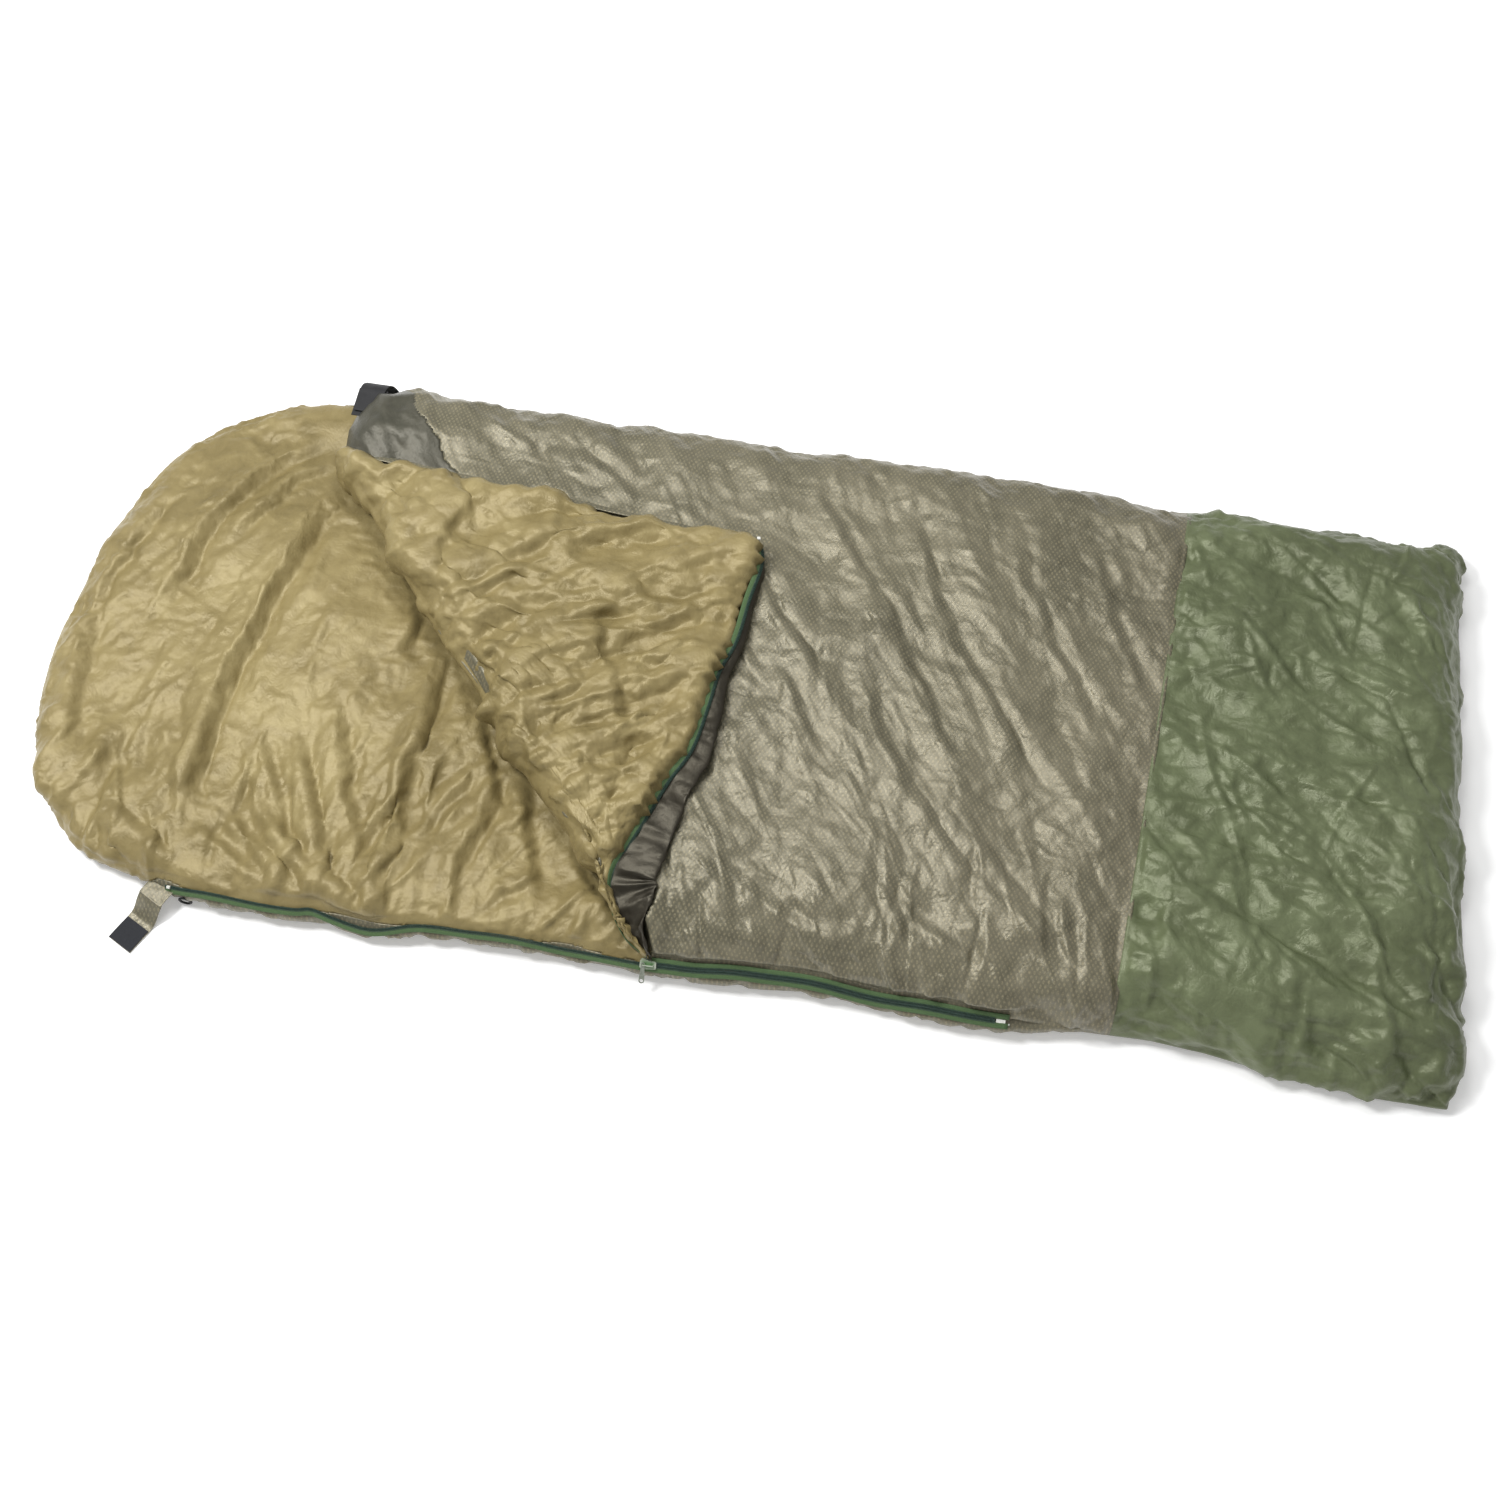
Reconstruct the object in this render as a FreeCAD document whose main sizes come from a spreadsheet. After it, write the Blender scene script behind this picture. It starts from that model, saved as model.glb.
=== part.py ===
import FreeCAD, Part
import Sketcher
import os, math
from FreeCAD import Vector as V, Placement, Rotation

# Padded sleeping sack lying flat and open at one corner.
# Frame: X along the bag (head end -X, foot end +X), Y across it (zip side with the
# opened corner at -Y), Z up.  Origin: middle of the underside, on the ground.
# Millimetres.

os.makedirs("parts", exist_ok=True)
doc = FreeCAD.newDocument("sleeping_sack")
sheet = doc.addObject("Spreadsheet::Sheet", "dims")
SIZES = [
    ("bag_foot_x", 1095), ("bag_half_width", 462), ("head_straight_x", -840),
    ("far_straight_x", -700), ("foot_corner_rad", 28),
    ("base_depth", 50), ("tray_depth", 26), ("base_edge_bevel", 22), ("floor_edge_bevel", 7),
    ("skin", 2), ("tray_skin", 3),
    ("cover_half_width", 440), ("cover_foot_x", 1074), ("cover_top_z", 110.5),
    ("cover_wall", 22), ("cavity_depth", 20), ("cover_bevel", 16), ("seam_x", 617),
    ("fold_x", -66), ("fold_y", -450), ("fold_angle", 133), ("fold_z", 111),
    ("flap_edge", 684), ("flap_thick", 39), ("flap_thin", 15.5), ("flap_gap", 1),
    ("zip_y", -454.2), ("zip_z", 42.2), ("zip_tilt", 45), ("coil_rad", 1.7), ("coil_off", 2.8),
    ("tape_thick", 1.2), ("tape_wide", 11.5), ("lower_head_x", -797), ("zip_foot_x", 440),
    ("slider_long", 24), ("slider_wide", 14.5), ("slider_plate", 1.4), ("slider_gap", 4.2),
    ("pull_long", 30), ("pull_thick", 1.2), ("pull_hole_rad", 2.6),
    ("tab_wide", 44), ("tab_thick", 1.8), ("patch_size", 40),
    ("far_head_x", -735), ("far_slider_x", -650),
]
for i, (alias, val) in enumerate(SIZES, start=1):
    sheet.set("A%d" % i, alias)
    sheet.set("B%d" % i, str(val))
    sheet.setAlias("B%d" % i, alias)
doc.recompute()


def g(alias):
    return float(sheet.get(alias))


def E(obj, prop, expr):
    obj.setExpression(prop, expr)


NODES = []


def node(obj, label):
    obj.Label = label
    NODES.append(obj)
    return obj


def plane(body, role):
    for f in body.Origin.OriginFeatures:
        if getattr(f, "Role", "") == role:
            return f
    raise RuntimeError(role)


def new_body(name):
    return doc.addObject("PartDesign::Body", name)


def sketch(body, name, role, geoms, offz=0.0):
    sk = body.newObject("Sketcher::SketchObject", name)
    sk.AttachmentSupport = [(plane(body, role), "")]
    sk.MapMode = "FlatFace"
    if offz:
        sk.AttachmentOffset = Placement(V(0, 0, offz), Rotation())
    for k, ge in enumerate(geoms):
        sk.addGeometry(ge, False)
    return sk


def poly(pts):
    out = []
    for a, b in zip(pts, pts[1:] + pts[:1]):
        out.append(Part.LineSegment(V(a[0], a[1], 0), V(b[0], b[1], 0)))
    return out


def pad(body, name, sk, expr):
    p = body.newObject("PartDesign::Pad", name)
    p.Profile = sk
    E(p, "Length", expr)
    return p


# ---------------------------------------------------------------- outline of the base
# Square foot end, long straight sides, rounded head end with a larger round on the far side.
HEAD = [(-925, -451), (-1003, -405), (-1058, -325), (-1081, -225), (-1091, -95), (-1075, 30),
        (-1046, 165), (-985, 300), (-900, 390), (-806, 440)]


def outline(off):
    xf = g("bag_foot_x") - off
    hw = g("bag_half_width") - off
    xn, xw = g("head_straight_x"), g("far_straight_x")
    r = max(g("foot_corner_rad") - off, 3)
    pts = [(xn, -g("bag_half_width"))] + HEAD + [(xw, g("bag_half_width"))]
    moved = []
    for i, (x, y) in enumerate(pts):
        if i == 0:
            nx, ny = 0, 1
        elif i == len(pts) - 1:
            nx, ny = 0, -1
        else:
            tx, ty = pts[i + 1][0] - pts[i - 1][0], pts[i + 1][1] - pts[i - 1][1]
            q = math.hypot(tx, ty)
            nx, ny = ty / q, -tx / q
        moved.append(V(x + nx * off, y + ny * off, 0))
    yf = hw
    bs = Part.BSplineCurve()
    bs.interpolate(Points=moved)
    a1 = Part.Arc(V(xf - r, yf, 0), V(xf - r * (1 - math.sqrt(.5)), yf - r * (1 - math.sqrt(.5)), 0), V(xf, yf - r, 0))
    a2 = Part.Arc(V(xf, -hw + r, 0), V(xf - r * (1 - math.sqrt(.5)), -hw + r * (1 - math.sqrt(.5)), 0), V(xf - r, -hw, 0))
    return [Part.LineSegment(V(xf - r, -hw, 0), moved[0]), bs,
            Part.LineSegment(moved[-1], V(xf - r, yf, 0)), a1,
            Part.LineSegment(V(xf, yf - r, 0), V(xf, -hw + r, 0)), a2]


def edges_at_z(shape, z):
    out = []
    for i, e in enumerate(shape.Edges, start=1):
        bb = e.BoundBox
        if abs(bb.ZMin - z) < 1e-4 and abs(bb.ZMax - z) < 1e-4:
            out.append("Edge%d" % i)
    return out


def bevel(body, base, name, edges, expr):
    c = body.newObject("PartDesign::Chamfer", name)
    c.Base = (base, edges)
    E(c, "Size", expr)
    return c


def ruled(body, name, off0, za, off1, zb):
    # sloping band between two outlines at different heights
    s1 = sketch(body, name + "A", "XY_Plane", outline(off0), offz=za)
    s2 = sketch(body, name + "B", "XY_Plane", outline(off1), offz=zb)
    lo = body.newObject("PartDesign::AdditiveLoft", name)
    lo.Profile = s1
    lo.Sections = [s2]
    lo.Ruled = True
    return lo


# base_shell: the outer skin under the sleeper, a shallow tray
b = new_body("BaseShell")
fb = g("floor_edge_bevel")
ruled(b, "BaseShellFloorBand", fb, 0, 0, fb)
sk = sketch(b, "BaseShellOutline", "XY_Plane", outline(0), offz=fb)
p = pad(b, "BaseShellPad", sk, "dims.tray_depth - dims.floor_edge_bevel")
doc.recompute()
v0 = b.Shape.Volume
sk2 = sketch(b, "BaseShellHollow", "XY_Plane", outline(g("tray_skin") + 5), offz=g("tray_depth"))
pk = b.newObject("PartDesign::Pocket", "BaseShellPocket")
pk.Profile = sk2
E(pk, "Length", "dims.tray_depth - dims.tray_skin")
doc.recompute()
if not b.Shape.Volume < v0 * 0.6:
    raise RuntimeError("base shell pocket cut nothing")
node(b, "base_shell")


def crown(tag, off):
    # the part of the base above the tray: a low wall, then a slope up to the flat top
    td, bd, be = g("tray_depth"), g("base_depth"), g("base_edge_bevel")
    b = new_body(tag)
    sk = sketch(b, tag + "Low", "XY_Plane", outline(off), offz=td)
    pad(b, tag + "LowPad", sk, "dims.base_depth - dims.tray_depth - dims.base_edge_bevel")
    ruled(b, tag + "Slope", off, bd - be, off + be - (off * 0.5), bd - off)
    doc.recompute()
    return b


# base_insulation: wadding that fills the tray and crowns above it
crown_in = crown("BaseFillCrown", g("skin"))
b = new_body("BaseFillTray")
sk = sketch(b, "BaseFillLower", "XY_Plane", outline(g("tray_skin") + 5), offz=g("tray_skin"))
pad(b, "BaseFillLowerPad", sk, "dims.tray_depth - dims.tray_skin")
doc.recompute()
bi = doc.addObject("Part::MultiFuse", "BaseInsulation")
bi.Shapes = [b, crown_in]
doc.recompute()
node(bi, "base_insulation")

# base_lining: smooth inner skin over the wadding, down to the tray's rim
crown_out = crown("BaseLiningCrown", 0)
crown_hole = crown("BaseLiningInside", g("skin"))
cut = doc.addObject("Part::Cut", "BaseLining")
cut.Base, cut.Tool = crown_out, crown_hole
doc.recompute()
node(cut, "base_lining")

# ---------------------------------------------------------------- fold line of the opened corner
A = math.radians(g("fold_angle"))
D = V(math.cos(A), math.sin(A), 0)          # along the fold, towards the far head corner
N = V(math.sin(A), -math.cos(A), 0)         # from the fold towards the foot end
S = V(g("fold_x"), g("fold_y"), 0)
GAP = g("flap_gap") / 2.0
tF = g("flap_edge") / -math.cos(A)
EDGE = math.radians(2 * g("fold_angle") - 180)
NP = S + V(math.cos(EDGE), math.sin(EDGE), 0) * g("flap_edge")   # free corner, folded back
FP = S + D * tF                                                  # head end of the fold
HEADX = g("fold_x") - g("flap_edge")                             # head edge of the cover


def cover_poly(off, foff=None):
    hw = g("cover_half_width") - off
    xf = g("cover_foot_x") - off
    # near end of the fold line at y = -hw
    t = (-hw - g("fold_y")) / math.sin(A)
    a = S + D * t + N * GAP
    f = FP + N * GAP
    return [(xf, -hw), (xf, hw), (HEADX + off + 0.5, hw), (HEADX + off + 0.5, f.y - 0.2), (f.x + 0.4, f.y - 0.3), (a.x, a.y)]


def cover_geoms(off):
    hw = g("cover_half_width") - off
    xf = g("cover_foot_x") - off
    x0 = HEADX + off + 0.5
    # points of the fold line at x0 and at y=-hw, GAP away on the foot side
    base = S + N * GAP
    t0 = (x0 - base.x) / D.x
    t1 = (-hw - base.y) / D.y
    return poly([(xf, -hw), (xf, hw), (x0, hw), (x0, (base + D * t0).y), ((base + D * t1).x, -hw)])


def side_edges(shape, z, keep):
    out = []
    for i, e in enumerate(shape.Edges, start=1):
        bb = e.BoundBox
        if abs(bb.ZMin - z) < 1e-4 and abs(bb.ZMax - z) < 1e-4 and keep(bb):
            out.append("Edge%d" % i)
    return out


def long_side(off):
    hw = g("cover_half_width") - off
    xf = g("cover_foot_x") - off
    return lambda bb: (abs(bb.YMin + hw) < .01 and abs(bb.YMax + hw) < .01) or \
        (abs(bb.YMin - hw) < .01 and abs(bb.YMax - hw) < .01) or (abs(bb.XMin - xf) < .01 and abs(bb.XMax - xf) < .01)


def cover_block(tag, off, topexpr, bev):
    b = new_body(tag)
    sk = sketch(b, tag + "Plan", "XY_Plane", cover_geoms(off), offz=g("base_depth"))
    p = pad(b, tag + "Pad", sk, topexpr)
    doc.recompute()
    z = p.Shape.BoundBox.ZMax
    c = bevel(b, p, tag + "Bevel", side_edges(p.Shape, z, long_side(off)), bev)
    doc.recompute()
    return b


def cavity_pocket(b, tag, off, extra):
    # the space for the sleeper, open towards the head end
    w = g("cover_half_width") - g("cover_wall") - off
    xf = g("cover_foot_x") - g("cover_wall") - off
    sk = sketch(b, tag + "Cavity", "XY_Plane", poly([(-1000, -w), (xf, -w), (xf, w), (-1000, w)]), offz=g("base_depth"))
    before = b.Shape.Volume
    pk = b.newObject("PartDesign::Pocket", tag + "CavityPocket")
    pk.Profile = sk
    pk.Reversed = True
    E(pk, "Length", "dims.cavity_depth + " + extra)
    doc.recompute()
    if not pk.Shape.Volume < before * 0.95:
        pk.Reversed = False
        doc.recompute()
    if not pk.Shape.Volume < before * 0.95:
        raise RuntimeError(tag + " cavity cut nothing")


# cover_insulation: wadding of the upper layer, with side and foot walls standing on the base
b = cover_block("CoverInsulation", g("skin"), "dims.cover_top_z - dims.base_depth - dims.skin", "dims.cover_bevel - 1")
cavity_pocket(b, "CoverInsulation", 0, "1.5")
node(b, "cover_insulation")

# cover_lining: inner skin of the upper layer, the ceiling of the cavity
b = new_body("CoverLining")
w = g("cover_half_width") - g("cover_wall")
xf = g("cover_foot_x") - g("cover_wall")
base = S + N * GAP
x0 = HEADX + g("skin") + 0.5
geo = poly([(xf, -w), (xf, w), (x0, w), (x0, (base + D * ((x0 - base.x) / D.x)).y),
            ((base + D * ((-w - base.y) / D.y)).x, -w)])
sk = sketch(b, "CoverLiningPlan", "XY_Plane", geo, offz=g("base_depth") + g("cavity_depth"))
p = pad(b, "CoverLiningPad", sk, "1.5")
doc.recompute()
node(b, "cover_lining")

# cover_shell and foot_panel: outer skin of the upper layer, joined at a cross seam
outer = cover_block("CoverSkin", 0, "dims.cover_top_z - dims.base_depth", "dims.cover_bevel")
inner = cover_block("CoverSkinInner", g("skin"), "dims.cover_top_z - dims.base_depth - dims.skin", "dims.cover_bevel - 1")
skin = doc.addObject("Part::Cut", "CoverSkinSheet")
skin.Base, skin.Tool = outer, inner
doc.recompute()
bx1 = doc.addObject("Part::Box", "HeadSideOfSeam")
E(bx1, "Length", "dims.seam_x + 1000")
bx1.Width, bx1.Height = 1200, 200
bx1.Placement = Placement(V(-1000, -600, 0), Rotation())
cs = doc.addObject("Part::Common", "CoverShell")
cs.Base, cs.Tool = skin, bx1
bx2 = doc.addObject("Part::Box", "FootSideOfSeam")
bx2.Length, bx2.Width, bx2.Height = 800, 1200, 200
E(bx2, ".Placement.Base.x", "dims.seam_x")
E(bx2, ".Placement.Base.y", "-600")
skin2 = doc.addObject("Part::Cut", "CoverSkinSheet2")
skin2.Base, skin2.Tool = outer, inner
fp = doc.addObject("Part::Common", "FootPanel")
fp.Base, fp.Tool = skin2, bx2
doc.recompute()
node(cs, "cover_shell")
node(fp, "foot_panel")

# ---------------------------------------------------------------- opened corner (flap)
# the flap starts a little way from the fold line, so that it can lie past level when closed
P0 = S + N * 4.2


def flap_plan():
    a = P0 + D * 14.0
    # corner points kept on the foot side of the fold line
    f = FP + N * 4.2 - D * 6.0
    m = NP
    # start of the free edge, a little way from the slider
    e = S + V(math.cos(EDGE), math.sin(EDGE), 0) * 34.0
    return [(a.x, a.y), (e.x, e.y), (m.x, m.y), (f.x, f.y)]


def flap_sheet(tag, z, expr):
    b = new_body(tag)
    sk = sketch(b, tag + "Plan", "XY_Plane", poly(flap_plan()), offz=z)
    p = pad(b, tag + "Pad", sk, expr)
    doc.recompute()
    return b


def flap_wedge(tag, zf0, zf1, ze0, ze1, long_r=560.0):
    # section across the fold line, swept along it
    pts = [P0 + V(0, 0, zf0), P0 + N * long_r + V(0, 0, ze0), P0 + N * long_r + V(0, 0, ze1), P0 + V(0, 0, zf1)]
    w = Part.makePolygon([q - D * 60 for q in pts] + [pts[0] - D * 60])
    o = doc.addObject("Part::Feature", tag + "Section")
    o.Shape = Part.Face(w).extrude(D * 1200)
    return o


z0 = g("fold_z") + GAP                     # outer face of the folded flap
zt = z0 + g("flap_thick")
slope = (g("flap_thick") - g("flap_thin")) / 500.0
drop = slope * 560.0
flap_shell = flap_sheet("FlapShell", z0, "dims.skin")
node(flap_shell, "flap_shell")
prism = flap_sheet("FlapPlanPrism", z0 + g("skin"), "80")
wf = flap_wedge("FlapInsulation", z0 + g("skin"), zt - g("skin"), z0 + g("skin"), zt - g("skin") - drop)
fi = doc.addObject("Part::Common", "FlapInsulation")
fi.Base, fi.Tool = prism, wf
prism2 = flap_sheet("FlapPlanPrismB", z0 + g("skin"), "80")
wl = flap_wedge("FlapLining", zt - g("skin"), zt, zt - g("skin") - drop, zt - drop)
fl = doc.addObject("Part::Common", "FlapLining")
fl.Base, fl.Tool = prism2, wl
doc.recompute()
node(fi, "flap_insulation")
node(fl, "flap_lining")

# loop patch under the free corner of the flap (its outer face)
EV = V(math.cos(EDGE), math.sin(EDGE), 0)       # along the free edge
HV = V(-EV.y, EV.x, 0)                          # from the free edge into the flap


def flat_box(tag, label, org, xdir, lx, ly, lz, lxe=None, lye=None, lze=None):
    o = doc.addObject("Part::Box", tag)
    if lxe: E(o, "Length", lxe)
    else: o.Length = lx
    if lye: E(o, "Width", lye)
    else: o.Width = ly
    if lze: E(o, "Height", lze)
    else: o.Height = lz
    ang = math.degrees(math.atan2(xdir.y, xdir.x))
    o.Placement = Placement(org, Rotation(V(0, 0, 1), ang))
    if label:
        node(o, label)
    return o


# the shell is 2 thick; the patch is let into the outer face so it stays clear of the cover
patch_cut = doc.addObject("Part::Box", "LoopPatchSeat")
E(patch_cut, "Length", "dims.patch_size + 8")
E(patch_cut, "Width", "dims.patch_size + 8")
patch_cut.Height = 1.0
po = NP - EV * (g("patch_size") + 8 + 14) + HV * 12
patch_cut.Placement = Placement(V(po.x, po.y, z0), Rotation(V(0, 0, 1), math.degrees(EDGE)))
fs = doc.addObject("Part::Cut", "FlapShellSeated")
fs.Base, fs.Tool = flap_shell, patch_cut
NODES.remove(flap_shell)
flap_shell.Label = "flap_shell_blank"
node(fs, "flap_shell")
flat_box("FlapLoopPatch", "flap_loop_patch", V(po.x, po.y, z0), EV, 0, 0, 1.0,
         lxe="dims.patch_size + 8", lye="dims.patch_size + 8")

# zip half on the free edge: tape, coil, top stop
OUT = HV * -1.0
tz = z0 + 7.0
t0 = 40.0
org = S + EV * t0 + OUT * g("tape_wide")
flat_box("FlapZipTape", "flap_zip_tape", V(org.x, org.y, tz), EV, 0, 0, 0,
         lxe="dims.flap_edge - %g" % (t0 + 4), lye="dims.tape_wide", lze="dims.tape_thick")
cyl = doc.addObject("Part::Cylinder", "FlapZipCoil")
E(cyl, "Radius", "dims.coil_rad")
E(cyl, "Height", "dims.flap_edge - %g" % (t0 + 10))
co = S + EV * (t0 + 1) + OUT * (g("tape_wide") + g("coil_rad"))
cyl.Placement = Placement(V(co.x, co.y, tz + g("tape_thick") / 2), Rotation(V(0, 0, 1), EV))
node(cyl, "flap_zip_coil")
so = S + EV * (g("flap_edge") - 9 + 0.0) + OUT * (g("tape_wide") + 3.6)
flat_box("FlapTopStop", "flap_top_stop", V(so.x, so.y, tz - 1.4), EV, 5, 3.6, 4.0)

# ---------------------------------------------------------------- side zips
TILT = g("zip_tilt")


def zip_place(x, side):
    # local axes of the zip: X along it, Y up the slope towards the cover, Z outwards
    c = V(x, side * -g("zip_y") if side > 0 else g("zip_y"), g("zip_z"))
    if side < 0:
        return Placement(c, Rotation(V(1, 0, 0), TILT))
    # mirrored side: turn half a turn about Z, then the slope
    return Placement(c, Rotation(V(0, 0, 1), 180).multiply(Rotation(V(1, 0, 0), TILT)))


def bar(tag, label, x0, x1, side, y0, y1, zz0, zz1, more=None):
    L = abs(x1 - x0)
    o = doc.addObject("Part::Box", tag)
    o.Length, o.Width, o.Height = L, y1 - y0, zz1 - zz0
    start = x0 if side < 0 else x1
    P = zip_place(start, side)
    o.Placement = P.multiply(Placement(V(0, y0, zz0), Rotation()))
    if label and not more:
        node(o, label)
    return o


def zip_side(side, tag, low_x0, up_x0, foot_x):
    nm = tag.lower()
    yoff = 0
    # lower tape: strip plus the stitched hem that reaches the base
    y_in = -(g("coil_off") + g("coil_rad"))
    a = bar(tag + "LowTapeStrip", None, low_x0, foot_x + 18, side, y_in - g("tape_wide"), y_in, -g("tape_thick") / 2, g("tape_thick") / 2, True)
    c = bar(tag + "LowTapeHem", None, low_x0, foot_x + 18, side, y_in - g("tape_wide"), y_in - g("tape_wide") + 3, -4.4, -g("tape_thick") / 2, True)
    f = doc.addObject("Part::MultiFuse", tag + "LowerTape")
    f.Shapes = [a, c]
    node(f, nm + "_lower_zip_tape")
    # upper tape
    y_out = g("coil_off") + g("coil_rad")
    bar(tag + "UpperTape", nm + "_upper_zip_tape", up_x0, foot_x + 18, side, y_out, 19.3, -g("tape_thick") / 2, g("tape_thick") / 2)
    # coils
    for which, sgn, xx in (("lower", -1, low_x0), ("upper", 1, up_x0)):
        cy = doc.addObject("Part::Cylinder", tag + which.capitalize() + "Coil")
        E(cy, "Radius", "dims.coil_rad")
        x0c, x1c = xx + 6, foot_x
        cy.Height = x1c - x0c
        P = zip_place(x0c if side < 0 else x1c, side)
        cy.Placement = P.multiply(Placement(V(0, sgn * g("coil_off"), 0), Rotation(V(0, 0, 1), V(1, 0, 0))))
        node(cy, "%s_%s_zip_coil" % (nm, which))
    # insertion pin at the end of the lower half, retainer box on the upper half
    pin = doc.addObject("Part::Cylinder", tag + "Pin")
    pin.Radius, pin.Height = 1.3, 20
    P = zip_place(foot_x if side < 0 else foot_x + 20, side)
    pin.Placement = P.multiply(Placement(V(0, -g("coil_off"), 0), Rotation(V(0, 0, 1), V(1, 0, 0))))
    node(pin, nm + "_insertion_pin")
    bar(tag + "Retainer", nm + "_retainer_box", foot_x + 0.5, foot_x + 13.5, side, -1.0, y_out, -2.6, 2.6)
    # top stop on the lower half
    bar(tag + "LowerStop", nm + "_lower_top_stop", low_x0 + 1, low_x0 + 6, side, y_in, -1.0, -1.8, 1.8)


zip_side(-1, "Near", g("lower_head_x"), -62.0, g("zip_foot_x"))
zip_side(1, "Far", g("far_head_x"), g("far_head_x"), g("zip_foot_x"))
bar("FarUpperStop", "far_upper_top_stop", g("far_head_x") + 1, g("far_head_x") + 6, 1, 1.0, g("coil_off") + g("coil_rad"), -1.8, 1.8)


def slider(tag, label, x, side):
    # Y-throat slider: two plates, four flanges, a divider at the head end and a bridge on top.
    L, W = g("slider_long"), g("slider_wide")
    pt, gp = g("slider_plate"), g("slider_gap")
    h = gp / 2
    hd = -1 if side < 0 else 1         # local X sense of the head end
    b = new_body(tag + "Plates")
    wide, slim = W / 2, W / 2 - 1.3
    pts = [(-L / 2 * hd * -1, 0)]
    prof = [(hd * L / 2, -wide + 2), (hd * (L / 2 - 2.5), -wide), (hd * (L / 2 - 9), -wide), (-hd * (L / 2 - 1.5), -slim), (-hd * L / 2, -slim + 1.5),
            (-hd * L / 2, slim - 1.5), (-hd * (L / 2 - 1.5), slim), (hd * (L / 2 - 9), wide), (hd * (L / 2 - 2.5), wide), (hd * L / 2, wide - 2)]
    sk = sketch(b, tag + "TopPlan", "XY_Plane", poly(prof), offz=h)
    p = pad(b, tag + "TopPad", sk, "dims.slider_plate")
    doc.recompute()
    b2 = new_body(tag + "PlatesB")
    sk = sketch(b2, tag + "LowPlan", "XY_Plane", poly(prof), offz=-h - pt)
    p = pad(b2, tag + "LowPad", sk, "dims.slider_plate")
    doc.recompute()
    bits = [b, b2]

    def bx(n, x0, x1, y0, y1, z0_, z1_):
        o = doc.addObject("Part::Box", tag + n)
        o.Length, o.Width, o.Height = x1 - x0, y1 - y0, z1_ - z0_
        o.Placement = Placement(V(x0, y0, z0_), Rotation())
        bits.append(o)
    # flanges on both long sides, above and below the tape slot
    for s in (-1, 1):
        y0, y1 = sorted((s * (slim - 1.35), s * (slim - 0.05)))
        bx("FlTop%d" % (s + 1), -L / 2 + 2.2, L / 2 - 2.2, y0, y1, 0.95, h + .2)
        bx("FlLow%d" % (s + 1), -L / 2 + 2.2, L / 2 - 2.2, y0, y1, -h - .2, -0.95)
    xa, xb = sorted((hd * (L / 2 - 1.2), hd * (L / 2 - 7)))
    bx("Divider", xa, xb, -.75, .75, -h - .2, h + .2)
    # bridge: head-side leg, tail-side leg and the bar that keeps the pull on
    xl = hd * 7.0
    bx("LegHead", xl - 1.0, xl + 1.0, -.9, .9, h + pt - .2, h + pt + 3.6)
    xt = -hd * 7.0
    bx("LegTail", xt - 1.0, xt + 1.0, -.9, .9, h + pt - .2, h + pt + 3.6)
    bx("Bar", -8.0, 8.0, -.9, .9, h + pt + 2.4, h + pt + 3.8)
    f = doc.addObject("Part::MultiFuse", tag)
    f.Shapes = bits
    f.Placement = zip_place(x, side)
    doc.recompute()
    node(f, label)


def pull(tag, label, x, side):
    # tapered pull that hangs down the slope from the head-side leg of the bridge
    hd = -1 if side < 0 else 1
    b = new_body(tag)
    lx = hd * 7.0
    L = g("pull_long")
    z0_ = g("slider_gap") / 2 + g("slider_plate") + 0.45
    e = -L + 4.3
    geo = [Part.Arc(V(lx - 2.6, -0.8, 0), V(lx, 3.4, 0), V(lx + 2.6, -0.8, 0)),
           Part.LineSegment(V(lx + 2.6, -0.8, 0), V(lx + 4.2, e, 0)),
           Part.Arc(V(lx + 4.2, e, 0), V(lx, e - 4.3, 0), V(lx - 4.2, e, 0)),
           Part.LineSegment(V(lx - 4.2, e, 0), V(lx - 2.6, -0.8, 0)),
           Part.Circle(V(lx, 0, 0), V(0, 0, 1), 1.75),
           Part.Circle(V(lx, e, 0), V(0, 0, 1), g("pull_hole_rad"))]
    sk = sketch(b, tag + "Plan", "XY_Plane", geo, offz=z0_)
    k = sk.addConstraint(Sketcher.Constraint("Radius", 5, g("pull_hole_rad")))
    E(sk, "Constraints[%d]" % k, "dims.pull_hole_rad")
    p = pad(b, tag + "Pad", sk, "dims.pull_thick")
    doc.recompute()
    b.Placement = zip_place(x, side)
    node(b, label)


slider("NearSlider", "near_slider", g("fold_x"), -1)
pull("NearPull", "near_pull_tab", g("fold_x"), -1)
slider("FarSlider", "far_slider", g("far_slider_x"), 1)
pull("FarPull", "far_pull_tab", g("far_slider_x"), 1)

# ---------------------------------------------------------------- closure tabs
def strap(tag, label, pts, wide, place, thick):
    # strap bent along its length: side profile (along, height) extruded across its width
    b = new_body(tag)
    sk = sketch(b, tag + "Profile", "XZ_Plane", poly(pts))
    p = b.newObject("PartDesign::Pad", tag + "Pad")
    p.Profile = sk
    E(p, "Length", wide)
    p.Midplane = True
    doc.recompute()
    b.Placement = place
    node(b, label)
    return b


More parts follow.
